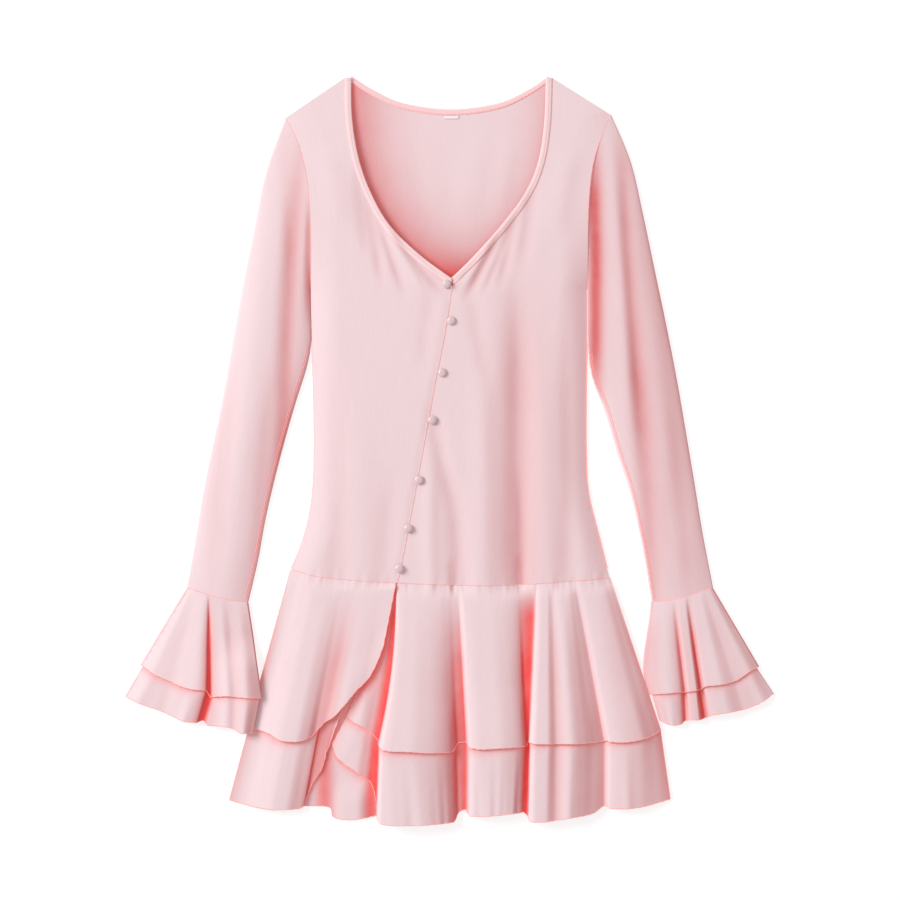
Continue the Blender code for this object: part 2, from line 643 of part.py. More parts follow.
def skirt_back(name, lines, layer, material, steps=4):
    """A back flounce lies flat, apart from the wave that shows in the slit."""
    wave_x, half_width, from_y, rise = SLIT_WAVE
    grid = []
    for r in range(steps + 1):
        line = []
        for seam_x, hem_x, hem_y in lines:
            t = (r / steps) ** 0.7
            x, y = mix(seam_x, hem_x, t), mix(waist_y(seam_x) - SEAM, hem_y, t)
            wave = math.exp(-((x - wave_x) / half_width) ** 4) * ease((from_y - y) / 25)
            line.append((x, y, layer * PLY + 0.5 * CLOTH + rise * wave * layer))
        grid.append(line)
    return cloth_wall(name, grid, (-0.5 * CLOTH, 0.5 * CLOTH), material)


def button_rest(number, x, y):
    """A button rests on the binding, beside the wrap edge on the left front, or on the right."""
    wrap_edge = [row[1:] for row in FRONT_RIGHT_ROWS[:V_ROW + 1]]
    if number == 1:
        return UPPER_PLY[0] + BINDING_THICKNESS
    if x - BUTTON_RADIUS > curve_at(wrap_edge, y, 1):
        return LOWER_PLY[1]
    return UPPER_PLY[1]


def button(name, x, y, low, material, sides=10):
    """A cloth-covered domed button: radius and height of its turned profile."""
    profile = [(0.82, 0.0), (1.0, 0.3), (0.84, 0.72), (0.45, 0.94)]
    points = []
    for radius, height in profile:
        for i in range(sides):
            angle = 2 * math.pi * i / sides
            points.append((x + BUTTON_RADIUS * radius * math.cos(angle),
                           y + BUTTON_RADIUS * radius * math.sin(angle),
                           low + BUTTON_HEIGHT * height))
    points.append((x, y, low + BUTTON_HEIGHT))
    faces = [list(range(sides))[::-1]]
    for ring in range(len(profile) - 1):
        for i in range(sides):
            a, b = ring * sides + i, ring * sides + (i + 1) % sides
            faces.append((a, b, b + sides, a + sides))
    top = (len(profile) - 1) * sides
    faces += [(top + i, top + (i + 1) % sides, len(points) - 1) for i in range(sides)]
    return add_object(name, points, faces, material)


def build_dress():
    knit, trim = finish("knit"), finish("binding")
    hard, white = finish("button"), finish("label")

    back_bodice(knit)
    front_panel("front_bodice_right", FRONT_RIGHT_ROWS, SIDE_RIGHT, UPPER_PLY, knit)
    front_panel("front_bodice_left", FRONT_LEFT_ROWS, SIDE_LEFT, LOWER_PLY, knit)
    front_binding("neck_binding_front_right", FRONT_RIGHT_ROWS, SIDE_RIGHT, V_ROW + 0.001,
                  UPPER_PLY[0], trim)
    front_binding("neck_binding_front_left", FRONT_LEFT_ROWS, SIDE_LEFT, V_ROW + 0.3,
                  LOWER_PLY[0], trim)
    back_binding(trim)
    neck_label(white)

    sleeve("sleeve_right", SLEEVE_RIGHT_ROWS, SIDE_RIGHT, CUFF_SEAM_RIGHT, -1, knit)
    sleeve("sleeve_left", SLEEVE_LEFT_ROWS, SIDE_LEFT, CUFF_SEAM_LEFT, 1, knit)
    for side, lines, seam in (("right", CUFF_RIGHT_LINES, CUFF_SEAM_RIGHT),
                              ("left", CUFF_LEFT_LINES, CUFF_SEAM_LEFT)):
        cuff("cuff_upper_" + side, lines, seam, False, knit)
        cuff("cuff_lower_" + side, lines, seam, True, knit)

    skirt_back("skirt_back_upper", BACK_UPPER_LINES, 0, knit)
    skirt_back("skirt_back_lower", BACK_LOWER_LINES, 1, knit)
    skirt_right("skirt_front_right_upper", SKIRT_RIGHT_UPPER_LINES, WIDE_UPPER_PLY, knit)
    skirt_right("skirt_front_right_lower", SKIRT_RIGHT_LOWER_LINES, WIDE_LOWER_PLY, knit)
    skirt_left("skirt_front_left_upper", UPPER_PLY, False, knit)
    skirt_left("skirt_front_left_lower", LOWER_PLY, True, knit)

    for number, (x, y) in enumerate(BUTTONS, start=1):
        low = front_height(x, y) + button_rest(number, x, y) + SEAM
        button("button_%d" % number, x, y, low, hard)


def centre_on_floor():
    """Move every mesh so that the middle of the dress's footprint is the origin."""
    corners = [v.co for thing in bpy.data.objects for v in thing.data.vertices]
    shift_x = -0.5 * (min(c.x for c in corners) + max(c.x for c in corners))
    shift_y = -0.5 * (min(c.y for c in corners) + max(c.y for c in corners))
    shift_z = -min(c.z for c in corners)
    for thing in bpy.data.objects:
        for vertex in thing.data.vertices:
            vertex.co.x += shift_x
            vertex.co.y += shift_y
            vertex.co.z += shift_z


for old in list(bpy.data.objects):
    bpy.data.objects.remove(old)
build_dress()
centre_on_floor()
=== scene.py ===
# %% [markdown]
# # A knit dress laid flat
#
# The dress is cut from thin pale pink jersey: two wrap fronts, a flat back, long sleeves with
# flared double cuffs, and a skirt of two circular flounces. Circular flounces are cut as rings,
# so they have more cloth at the hem than at the seam, and that extra cloth stands up as folds.
# This lesson rebuilds each cut piece as a fine grid of cloth. The places of the grid's points
# come from the same few sizes and short tables as the solid model, so each piece lies exactly
# where its solid lies. All tables are in millimetres; the finished pieces are in metres.

import math

import bpy
import numpy as np
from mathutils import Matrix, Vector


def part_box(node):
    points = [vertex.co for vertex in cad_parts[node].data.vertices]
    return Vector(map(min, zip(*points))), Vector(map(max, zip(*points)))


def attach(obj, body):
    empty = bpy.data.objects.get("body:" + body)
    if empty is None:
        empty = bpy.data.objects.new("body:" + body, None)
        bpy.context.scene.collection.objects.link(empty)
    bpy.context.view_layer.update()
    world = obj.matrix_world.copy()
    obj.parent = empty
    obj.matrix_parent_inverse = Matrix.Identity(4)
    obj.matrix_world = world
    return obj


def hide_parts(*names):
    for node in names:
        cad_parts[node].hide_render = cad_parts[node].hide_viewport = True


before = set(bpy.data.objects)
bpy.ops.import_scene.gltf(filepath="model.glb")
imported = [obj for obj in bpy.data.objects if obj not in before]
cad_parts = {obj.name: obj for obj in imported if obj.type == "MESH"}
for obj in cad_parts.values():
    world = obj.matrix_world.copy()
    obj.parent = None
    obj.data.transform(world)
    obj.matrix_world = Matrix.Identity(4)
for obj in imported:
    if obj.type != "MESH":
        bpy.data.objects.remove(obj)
bpy.ops.object.select_all(action="DESELECT")
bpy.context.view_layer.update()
MM = 0.001

# %% [markdown]
# ## Where the drawing's zero lies
#
# The tables below are drawn from the middle of the photographed picture, but the solid model is
# centred on its own footprint. One button, whose place is known in both, gives the shift.

# %% Find the shift
TOP_BUTTON = (-3.0, 185.0)          # the top button in the tables' millimetres


def box_middle(node):
    """Middle of a node's box, and the lowest z in it, in metres."""
    low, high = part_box(node)
    return 0.5 * (low[0] + high[0]), 0.5 * (low[1] + high[1]), low[2]


middle_x, middle_y, _ = box_middle("button_1")
SHIFT = np.array([middle_x / MM - TOP_BUTTON[0], middle_y / MM - TOP_BUTTON[1], 0.0])
print("shift in mm:", SHIFT.round(3))

# %% [markdown]
# ## Colours and nodes
#
# Colours are written as the hex values a screen shows. A shader works with linear light, so one
# function turns them. A second small function adds any node, sets its values and joins its wires.
# Two more do what most finishes need: colour between two tones, and fine relief.

# %% Helpers for materials
def linear(hex_colour):
    """Turn a screen colour such as #ECD6DA into linear light."""
    channels = [int(hex_colour[i:i + 2], 16) / 255 for i in (1, 3, 5)]
    return [c / 12.92 if c <= 0.04045 else ((c + 0.055) / 1.055) ** 2.4 for c in channels] + [1.0]


def add_node(tree, kind, wires=None, values=None, **settings):
    """Add a node; wires and values name its input sockets."""
    node = tree.nodes.new(kind)
    for key, value in settings.items():
        setattr(node, key, value)
    for socket, value in (values or {}).items():
        node.inputs[socket].default_value = value
    for socket, source in (wires or {}).items():
        tree.links.new(source, node.inputs[socket])
    return node


def new_finish(name, **values):
    """Start a material; the values are its shader's constant sockets."""
    material = bpy.data.materials.new(name)
    material.use_nodes = True
    shader = material.node_tree.nodes["Principled BSDF"]
    for socket, value in values.items():
        shader.inputs[socket.replace("_", " ")].default_value = value
    return material, material.node_tree, shader


def colour_by(tree, shader, factor, dark, pale):
    """Colour a finish between two tones, by a factor from 0 to 1."""
    tone = add_node(tree, "ShaderNodeMix", {"Factor": factor}, data_type="RGBA")
    tone.inputs["A"].default_value, tone.inputs["B"].default_value = linear(dark), linear(pale)
    tree.links.new(tone.outputs["Result"], shader.inputs["Base Color"])
    return tone


def raise_by(tree, shader, height, strength, distance):
    """Make fine relief; the distance is its real depth in metres."""
    bump = add_node(tree, "ShaderNodeBump", {"Height": height}, {"Strength": strength, "Distance": distance})
    tree.links.new(bump.outputs["Normal"], shader.inputs["Normal"])


# %% [markdown]
# ## Camera, floor and light
#
# The dress was photographed from straight above, so the camera looks down. A long lens from
# far away keeps the edges from leaning outwards. The light is one large soft lamp, a square that
# faces the dress from beyond the upper left corner. It is low enough to make the folds throw soft
# shade to the right, and a pale surrounding light fills the shade. The dress lies on a table of
# white plastic that is lit from below, which is how a studio keeps the ground white and the
# shadow beside a thing weak.

# %% Set up the camera, floor and lamp
VIEW_WIDTH = 1.008                  # width of the picture on the floor
LENS = 135.0                        # focal length in mm
SENSOR = 36.0                       # width of the camera's film in mm
VIEW_MIDDLE = (0.56, -0.45)         # what the camera looks at, in the tables' millimetres
TABLE_SIZE = 8.0
LAMP_PLACE = (-4.9, 2.3, 3.8)       # metres
LAMP_SIZE, LAMP_POWER, LAMP_COLOUR = 3.0, 352.0, "#FDFFFE"
ROOM_LIGHT, ROOM_COLOUR = 0.64, "#FFF1F0"

camera_height = VIEW_WIDTH * LENS / SENSOR
camera_x, camera_y = (VIEW_MIDDLE[0] + SHIFT[0]) * MM, (VIEW_MIDDLE[1] + SHIFT[1]) * MM
bpy.ops.object.camera_add(location=(camera_x, camera_y, camera_height), rotation=(0.0, 0.0, 0.0))
camera = bpy.context.object
camera.data.lens = LENS
camera.data.sensor_width = SENSOR
bpy.context.scene.camera = camera

bpy.ops.mesh.primitive_plane_add(size=TABLE_SIZE, location=(0.0, 0.0, 0.0))
floor = bpy.context.object
floor.name = "floor"

bpy.ops.object.light_add(type="AREA", location=LAMP_PLACE)
lamp = bpy.context.object
lamp.name = "lamp upper left"
lamp.data.size, lamp.data.energy, lamp.data.color = LAMP_SIZE, LAMP_POWER, linear(LAMP_COLOUR)[:3]
tilt = math.acos(LAMP_PLACE[2] / math.hypot(*LAMP_PLACE))
lamp.rotation_euler = (tilt, 0.0, math.atan2(LAMP_PLACE[1], LAMP_PLACE[0]) + math.pi / 2)

world = bpy.data.worlds.new("pale room")
bpy.context.scene.world = world
world.use_nodes = True
surroundings = world.node_tree.nodes["Background"].inputs
surroundings["Color"].default_value = linear(ROOM_COLOUR)
surroundings["Strength"].default_value = ROOM_LIGHT
bpy.context.scene.view_settings.view_transform = "Standard"
print("camera height:", round(camera_height, 3), "m")

# %% [markdown]
# ## Jersey
#
# The cloth is viscose jersey with elastane, knitted on a fine machine. Its loops stand in
# upright columns half a millimetre apart, which gives a smooth matt face with a faint upright
# grain and a soft bloom of fibre ends at grazing angles (the sheen). The loops are too fine to
# show at this distance, so the grain is drawn as streaks 2.6 mm apart and 30 mm long, and a
# finer crumb stands for the loops. The streaks follow the cloth's own UV map, which is in
# metres. The shade inside the folds is painted into the colour: each piece carries a "fold"
# attribute that is 1 deep inside a fold, and the colour moves to a darker coral with it, which
# is painted shade. A second attribute says where cloth lies so deep between its neighbours that
# it would be in shade: there the shader gives off a little coral light of its own, which is
# painted light.

# %% Make the jersey
STREAK_WIDTH, STREAK_LENGTH = 0.0026, 0.030
LOOP_CRUMB, GRAIN_DEPTH = 0.0011, 0.0005
PAINTED_GLOW_STRENGTH = 0.26                # strength of the painted coral light given off in a deep fold


def jersey(name, face, fold, grain=0.1):
    """Jersey with this colour on its face; the fold colour is painted into its folds as shade."""
    material, tree, shader = new_finish(name, Roughness=0.82, Sheen_Weight=0.22, Sheen_Roughness=0.45,
                                        Specular_IOR_Level=0.25, IOR=1.46)
    shader.inputs["Sheen Tint"].default_value = linear("#FFF2F4")
    # The emission colour is the painted coral light.
    shader.inputs["Emission Color"].default_value = linear("#FF524A")
    uv = add_node(tree, "ShaderNodeUVMap", uv_map="UVMap")
    stretch = add_node(tree, "ShaderNodeMapping", {"Vector": uv.outputs["UV"]},
                       {"Scale": (1 / STREAK_WIDTH, 1 / STREAK_LENGTH, 1.0)})
    streaks = add_node(tree, "ShaderNodeTexNoise", {"Vector": stretch.outputs["Vector"]},
                       {"Scale": 1.0, "Detail": 2.0, "Roughness": 0.5})
    crumb = add_node(tree, "ShaderNodeTexNoise", {"Vector": uv.outputs["UV"]},
                     {"Scale": 1 / LOOP_CRUMB, "Detail": 1.0})
    blotch = add_node(tree, "ShaderNodeTexNoise", {"Vector": uv.outputs["UV"]},
                      {"Scale": 22.0, "Detail": 3.0, "Roughness": 0.6})
    surface = add_node(tree, "ShaderNodeMath", {0: streaks.outputs["Fac"], 1: crumb.outputs["Fac"]},
                       operation="ADD")
    raise_by(tree, shader, surface.outputs["Value"], grain, GRAIN_DEPTH)
    # The "fold" attribute mixes the painted shade colour into the face colour.
    depth = add_node(tree, "ShaderNodeAttribute", attribute_name="fold")
    ragged = add_node(tree, "ShaderNodeMapRange", {"Value": blotch.outputs["Fac"]},
                      {"From Min": 0.3, "From Max": 0.7, "To Min": 0.92, "To Max": 1.08})
    factor = add_node(tree, "ShaderNodeMath", {0: depth.outputs["Fac"], 1: ragged.outputs["Result"]},
                      operation="MULTIPLY", use_clamp=True)
    tone = colour_by(tree, shader, factor.outputs["Value"], face, fold)
    shading = add_node(tree, "ShaderNodeMapRange", {"Value": streaks.outputs["Fac"]},
                       {"From Min": 0.3, "From Max": 0.7, "To Min": 0.985, "To Max": 1.015})
    colour_with_painted_shade = add_node(tree, "ShaderNodeHueSaturation",
                    {"Color": tone.outputs["Result"], "Value": shading.outputs["Result"]})
    # The second attribute sets the emission, which is painted coral light in the deepest folds.
    painted_glow = add_node(tree, "ShaderNodeAttribute", attribute_name="painted_glow")
    painted_light = add_node(tree, "ShaderNodeMath", {0: painted_glow.outputs["Fac"]}, {1: PAINTED_GLOW_STRENGTH},
                    operation="MULTIPLY")
    tree.links.new(painted_light.outputs["Value"], shader.inputs["Emission Strength"])
    tree.links.new(colour_with_painted_shade.outputs["Color"], shader.inputs["Base Color"])
    return material


# The second colour of each jersey is the painted shade in its folds.
PALE_JERSEY = jersey("pale jersey", "#E7D3D7", "#D0504E")
BAND_JERSEY = jersey("jersey neck band", "#ECD7DA", "#DC6F6C", grain=0.2)
print("jersey finishes made")

# %% [markdown]
# ## Thread, buttons, tape and floor
#
# The hems are rolled and overlocked with a coral polyester thread: a twisted, slightly shiny
# yarn, so its roughness is lower and fine slanted bands run along it. The buttons are domed
# shells covered in greyish pink satin with a soft gloss. The tab is a white woven satin tape.
# The ground is opal acrylic sheet with a finely ground face, lit from below.

# %% Make the other finishes
TWIST = 0.0012                      # one turn of the thread
TAPE_THREAD = 0.0008                # spacing of the tape's crosswise threads
TABLE_GLOW = 0.74                   # light that comes up through the opal sheet
WAVE_UNIT = 2 * math.pi / 20        # a wave texture of scale s repeats every WAVE_UNIT / s


def thread_finish(name, colour, dark, painted_light):
    """Glow is painted light: the thread gives off light in its own colour, so an edge in shade stays bright.
    """
    material, tree, shader = new_finish(name, Roughness=0.55, Sheen_Weight=0.1, Emission_Strength=painted_light)
    shader.inputs["Emission Color"].default_value = linear(colour)
    place = add_node(tree, "ShaderNodeTexCoord")
    turn = add_node(tree, "ShaderNodeTexWave", {"Vector": place.outputs["Object"]},
                    {"Scale": WAVE_UNIT / TWIST, "Distortion": 2.0}, bands_direction="DIAGONAL")
    fade = add_node(tree, "ShaderNodeTexNoise", {"Vector": place.outputs["Object"]},
                    {"Scale": 160.0, "Detail": 2.0})
    colour_by(tree, shader, fade.outputs["Fac"], dark, colour)
    raise_by(tree, shader, turn.outputs["Fac"], 0.4, 0.0003)
    return material


def satin_finish():
    material, tree, shader = new_finish("grey pink satin", Roughness=0.32, Coat_Weight=0.35, IOR=1.5)
    shader.inputs["Coat Roughness"].default_value = 0.2
    place = add_node(tree, "ShaderNodeTexCoord")
    cloud = add_node(tree, "ShaderNodeTexNoise", {"Vector": place.outputs["Object"]},
                     {"Scale": 260.0, "Detail": 2.0, "Distortion": 1.5})
    colour_by(tree, shader, cloud.outputs["Fac"], "#C9B3B4", "#E0D1D1")
    return material


def tape_finish():
    material, tree, shader = new_finish("white satin tape", Roughness=0.5, Sheen_Weight=0.2)
    place = add_node(tree, "ShaderNodeTexCoord")
    weave = add_node(tree, "ShaderNodeTexWave", {"Vector": place.outputs["Object"]},
                     {"Scale": WAVE_UNIT / TAPE_THREAD}, bands_direction="Y")
    colour_by(tree, shader, weave.outputs["Fac"], "#EDE3E3", "#F6F0F0")
    raise_by(tree, shader, weave.outputs["Fac"], 0.2, 0.0002)
    return material


def table_finish():
    material, tree, shader = new_finish("opal light table", Roughness=0.85, Emission_Strength=TABLE_GLOW)
    shader.inputs["Emission Color"].default_value = linear("#FFFFFF")
    place = add_node(tree, "ShaderNodeTexCoord")
    grit = add_node(tree, "ShaderNodeTexNoise", {"Vector": place.outputs["Object"]},
                    {"Scale": 40.0, "Detail": 4.0})
    colour_by(tree, shader, grit.outputs["Fac"], "#989898", "#9C9C9C")
    return material


# The last number is the painted light that each thread gives off.
CORAL_THREAD = thread_finish("coral overlock thread", "#F7A8A2", "#EE928C", 0.22)
SEAM_THREAD = thread_finish("pink seam thread", "#F0B5B3", "#E7A19F", 0.14)
EDGE_THREAD = thread_finish("pale edge thread", "#F0CDCE", "#EBC0C1", 0.3)
SATIN, TAPE = satin_finish(), tape_finish()
floor.data.materials.append(table_finish())
print("finishes:", [m.name for m in (CORAL_THREAD, SEAM_THREAD, EDGE_THREAD, SATIN, TAPE)])

# %% [markdown]
# ## Reading a table as a smooth curve
#
# Every table has a row for each section or fold. The cloth between two rows has to be smooth,
# so values are read on a Catmull-Rom curve, which passes through every row. A curve can also
# be asked for one coordinate where it has the other, which is how a seam finds its height.

# %% Smooth curves through tables
def fading(amount, away, reach, power=1.5):
    """An amount that dies away with the distance."""
    return amount * np.exp(-(away / reach) ** power)


def mix(a, b, t):
    """A value between a and b, where t runs from 0 to 1."""
    return a + (b - a) * t


def ease(t):
    """A smooth step from 0 to 1."""
    t = np.clip(t, 0.0, 1.0)
    return t * t * (3 - 2 * t)


def between(rows, u, corner=None):
    """Read table rows at row numbers u on a smooth curve, which may turn sharply at one row."""
    rows, u = np.asarray(rows, float), np.atleast_1d(np.asarray(u, float))
    last = len(rows) - 1
    first = np.zeros(len(u), int)
    final = np.full(len(u), last)
    if corner is not None:
        first, final = np.where(u > corner, corner, 0), np.where(u > corner, last, corner)
    i = np.clip(u.astype(int), first, final - 1)
    t = (u - i)[:, None]
    a, b = rows[np.maximum(i - 1, first)], rows[i]
    c, d = rows[i + 1], rows[np.minimum(i + 2, final)]
    return 0.5 * (2 * b + (c - a) * t + (2 * a - 5 * b + 4 * c - d) * t ** 2
                  + (3 * b - a - 3 * c + d) * t ** 3)


def through(rows, per_row):
    """Values on a smooth curve through the rows that never swings past them."""
    rows = np.asarray(rows, float)
    step = np.diff(rows, axis=0)
    slope = np.concatenate([step[:1], np.zeros_like(step[1:]), step[-1:]])
    total = np.where(step[1:] + step[:-1] == 0, 1.0, step[1:] + step[:-1])
    same_way = step[1:] * step[:-1] > 0
    slope[1:-1] = np.where(same_way, 2 * step[1:] * step[:-1] / total, 0.0)
    u = np.linspace(0, len(rows) - 1, (len(rows) - 1) * per_row + 1)
    i = np.minimum(u.astype(int), len(rows) - 2)
    t = (u - i)[:, None]
    return (rows[i] * (1 + 2 * t) * (1 - t) ** 2 + slope[i] * t * (1 - t) ** 2
            + rows[i + 1] * t * t * (3 - 2 * t) + slope[i + 1] * t * t * (t - 1))


def dense(rows, steps=30):
    """Many points on the smooth curve through the rows."""
    return between(rows, np.linspace(0, len(rows) - 1, (len(rows) - 1) * steps + 1))


def read_curve(rows, value, axis):
    """The other coordinate of a curve where the given axis has this value."""
    points = dense(rows)
    order = np.argsort(points[:, axis])
    return np.interp(value, points[order, axis], points[order, 1 - axis])


# %% [markdown]
# ## Outline curves
#
# The waist seam, the two side seams with the armholes above them, and the back neck.

# %% The dress's outline
WAIST = [
    (-177, -134), (-141, -143), (-61, -149), (53, -152), (150, -146), (179, -143),
]
SIDE_RIGHT = [
    (-177, -134), (-163, -99), (-154, -58), (-151, -4), (-152, 69), (-154, 130), (-155, 185), (-155, 238),
    (-157, 281), (-161, 313), (-170, 345), (-183, 371),
]
SIDE_LEFT = [
    (179, -143), (169, -103), (156, -50), (153, -4), (153, 69), (154, 130), (154, 180), (154, 225),
    (155, 270), (159, 313), (168, 345), (180, 375),
]
BACK_NECK = [
    (-110, 411.5), (-88, 397), (-52, 381), (2, 374), (55, 381), (90, 397), (111, 411.5),
]
SHOULDER_RIGHT, SHOULDER_LEFT = (-120, 405), (118, 407)
UNDERARM, ARMHOLE_TOP = 179, 371    # y of both ends of the armholes


def waist_y(x):
    return read_curve(WAIST, x, 0)


def side_x(side, y):
    return read_curve(side, y, 1)


# %% [markdown]
# ## Laying a sheet of cloth
#
# A sheet starts as Blender's own grid primitive with as many squares as the piece needs. Its
# points are then set from an array of places, and its UV map is set to distances measured
# along the cloth, so the knit's grain runs with the piece. Layers that lie on each other are
# one surface moved along its normals, up for the upper layer and down for the lower, which is
# why they never cut through each other. Solidify gives the thickness and is applied.

# %% Helpers that measure and move a surface
WALL = 0.8                          # thickness of the jersey
LAYER = 0.65                        # how far each of two layers lies from their middle surface


def facing_up(places, *others):
    """Turn a grid's rows round if needed, so that its first columns face up."""
    r, c = len(places) // 2, places.shape[1] // 8
    across = places[r, c + 1] - places[r, c]
    along = places[r + 1, c] - places[r, c]
    turn = np.cross(across, along)[2] < 0
    return [a[::-1].copy() if turn else a for a in (places, *others)]


def upward_normals(places):
    """Unit normals of a grid of places, all turned to face up."""
    normal = np.cross(np.gradient(places, axis=1), np.gradient(places, axis=0))
    normal /= np.maximum(np.linalg.norm(normal, axis=2, keepdims=True), 1e-9)
    return np.where(normal[..., 2:3] < 0, -normal, normal)


def stand_off(places, distance):
    """Move a surface along its normals."""
    return places + distance * upward_normals(places)


def lengths(places, axis):
    """Distance along the cloth from the first row or column."""
    steps = np.linalg.norm(np.diff(places, axis=axis), axis=2)
    start = np.zeros_like(np.take(steps, [0], axis=axis))
    return np.cumsum(np.concatenate([start, steps], axis=axis), axis=axis)


# %% [markdown]
# ## Painted coral shade and light
#
# The cloth's shade is painted into its colour as coral where the lamp itself doesn't reach: on
# slopes that are turned away from it, and beside an edge that lies over the cloth. Both are
# worked out from the shapes and the lamp's place, and kept in the "fold" attribute as painted
# shade and in a second attribute as painted glow.

# %% Painted shade on slopes and beside edges
TO_LAMP = np.array(LAMP_PLACE) / np.linalg.norm(LAMP_PLACE)
LEVEL_SHARE = 0.98                  # a slope with less lamplight than this share of level cloth's gets painted shade
SLOPE_SHADE_TINT = 0.5                    # painted coral shade of a slope that is turned fully away from the lamp
SLOPE_RANGE = 0.5                   # how much less lamplight such a slope takes


def painted_slope_shade(places):
    """Painted coral shade on slopes that face away from the lamp."""
    light = upward_normals(places) @ TO_LAMP
    return SLOPE_SHADE_TINT * np.clip((LEVEL_SHARE * TO_LAMP[2] - light) / SLOPE_RANGE, 0.0, 1.0)


FOLD_END = 1.2                      # the width over which the painted shade ends at a folded edge


def distance_to(line, flat):
    """How far each place is from the nearest point of a line, seen from above."""
    return np.concatenate([np.sqrt(((part[:, None] - line) ** 2).sum(axis=2).min(axis=1))
                           for part in np.array_split(flat, len(flat) // 4000 + 1)])


def shade_beside(piece, line, reach, coral, painted_light, until=None):
    """Paint a coral shade, and a coral glow, on a piece beside an edge that lies over it.

    Cloth to the right of the line `until` stays pale.
    """
    mesh = piece.data
    count = len(mesh.vertices)
    places = np.empty(3 * count)
    mesh.vertices.foreach_get("co", places)
    flat = places.reshape(-1, 3)[:, :2] / MM - SHIFT[:2]
    line = respace(line, 2.5)[0][:, :2]
    near = fading(1.0, distance_to(line, flat), reach)
    if until is not None:
        near *= ease((np.interp(-flat[:, 1], -until[:, 1], until[:, 0]) - flat[:, 0]) / FOLD_END)
    for label, amount in (("fold", coral), ("painted_glow", painted_light)):
        values = np.empty(count)
        mesh.attributes[label].data.foreach_get("value", values)
        mesh.attributes[label].data.foreach_set("value", np.maximum(values, amount * near))


# %% [markdown]
# ## One piece of cloth
#
# A piece is the grid primitive, moved to its places, with its UV map and its two attributes. A
# sleeve or a band goes all round, so its last column is sewn to its first.

# %% Lay one piece
def lay_cloth(name, places, finish, fold=0.0, wall=WALL, joined=False, painted_glow=0.0):
    """Make one cloth piece through a grid of places; joined sews the first column to the last."""
    # Slopes turned away from the lamp get painted coral shade on top of the given fold amount.
    fold = np.clip(fold + painted_slope_shade(places), 0.0, 1.0)
    painted_glow = np.broadcast_to(painted_glow, fold.shape).astype(float)
    places, fold, painted_glow = facing_up(places, fold, painted_glow)
    rows, columns = places.shape[:2]
    bpy.ops.object.select_all(action="DESELECT")
    bpy.ops.mesh.primitive_grid_add(x_subdivisions=columns - 1, y_subdivisions=rows - 1, size=1.0)
    piece = bpy.context.object
    piece.name = piece.data.name = name
    mesh = piece.data
    points = (places + SHIFT) * MM
    mesh.vertices.foreach_set("co", points.reshape(-1))
    along = np.stack([lengths(places, 1), lengths(places, 0)], axis=2).reshape(-1, 2) * MM
    corner = np.empty(len(mesh.loops), int)
    mesh.loops.foreach_get("vertex_index", corner)
    mesh.uv_layers[0].data.foreach_set("uv", along[corner].reshape(-1))
    for label, values in (("fold", fold), ("painted_glow", painted_glow)):
        mesh.attributes.new(label, "FLOAT", "POINT").data.foreach_set("value", values.reshape(-1))
    if joined:
        bpy.ops.object.mode_set(mode="EDIT")
        bpy.ops.mesh.select_all(action="SELECT")
        bpy.ops.mesh.remove_doubles(threshold=0.000002)
        bpy.ops.object.mode_set(mode="OBJECT")
    solid = piece.modifiers.new("wall", "SOLIDIFY")
    solid.thickness, solid.offset = wall * MM, 0.0
    bpy.ops.object.modifier_apply(modifier=solid.name)
    bpy.ops.object.shade_smooth_by_angle(angle=math.radians(60))
    mesh.materials.clear()
    mesh.materials.append(finish)
    return piece


def respace(path, step):
    """The same line with points this far apart."""
    path = np.asarray(path, float)
    gone = np.concatenate([[0.0], np.cumsum(np.linalg.norm(np.diff(path, axis=0), axis=1))])
    wanted = np.linspace(0.0, gone[-1], max(2, int(gone[-1] / step) + 1))
    return np.stack([np.interp(wanted, gone, path[:, i]) for i in range(3)], axis=1), wanted


def wrap_round(top, under, turn):
    """Join a top and an under surface round their two side edges with small half circles."""
    way = top[:, -1] - top[:, 0]
    way[:, 2] = 0.0
    way /= np.linalg.norm(way, axis=1, keepdims=True)
    angles = np.radians([60, 30, 0, -30, -60])

    def edge(upper, lower, side):
        middle, half = 0.5 * (upper + lower), 0.5 * (upper - lower)
        return (middle[:, None] + half[:, None] * np.sin(angles)[None, :, None]
                + side * turn * way[:, None] * np.cos(angles)[None, :, None])

    right = edge(top[:, -1], under[:, -1], 1.0)
    left = edge(top[:, 0], under[:, 0], -1.0)[:, ::-1]
    return np.concatenate([top, right, under[:, ::-1], left, top[:, :1]], axis=1)


# %% [markdown]
# ## Threads and rolled hems
#
# A hem or a seam thread is a round cord along an edge. It is drawn as a curve with a bevel,
# because a curve takes its thickness from one number, and then turned into a mesh. A real
# overlocked edge is never quite straight, so the cord is given a slight uneven wave.

# %% Helpers for threads
HEM_CORD, CUFF_CORD = 0.58, 0.55    # radius of a rolled hem
SWAY_LENGTH, LIFT_LENGTH = 13.0, 7.0            # length of a cord's sideways and upward waves


def uneven(distance, length, seed):
    """A smooth irregular wave between -1 and 1 along a line."""
    phase = seed * 1.7
    return (0.5 * np.sin(2 * np.pi * distance / length + phase)
            + 0.3 * np.sin(2 * np.pi * distance / (0.61 * length) + 2.3 * phase)
            + 0.2 * np.sin(2 * np.pi * distance / (0.37 * length) + 4.1 * phase))


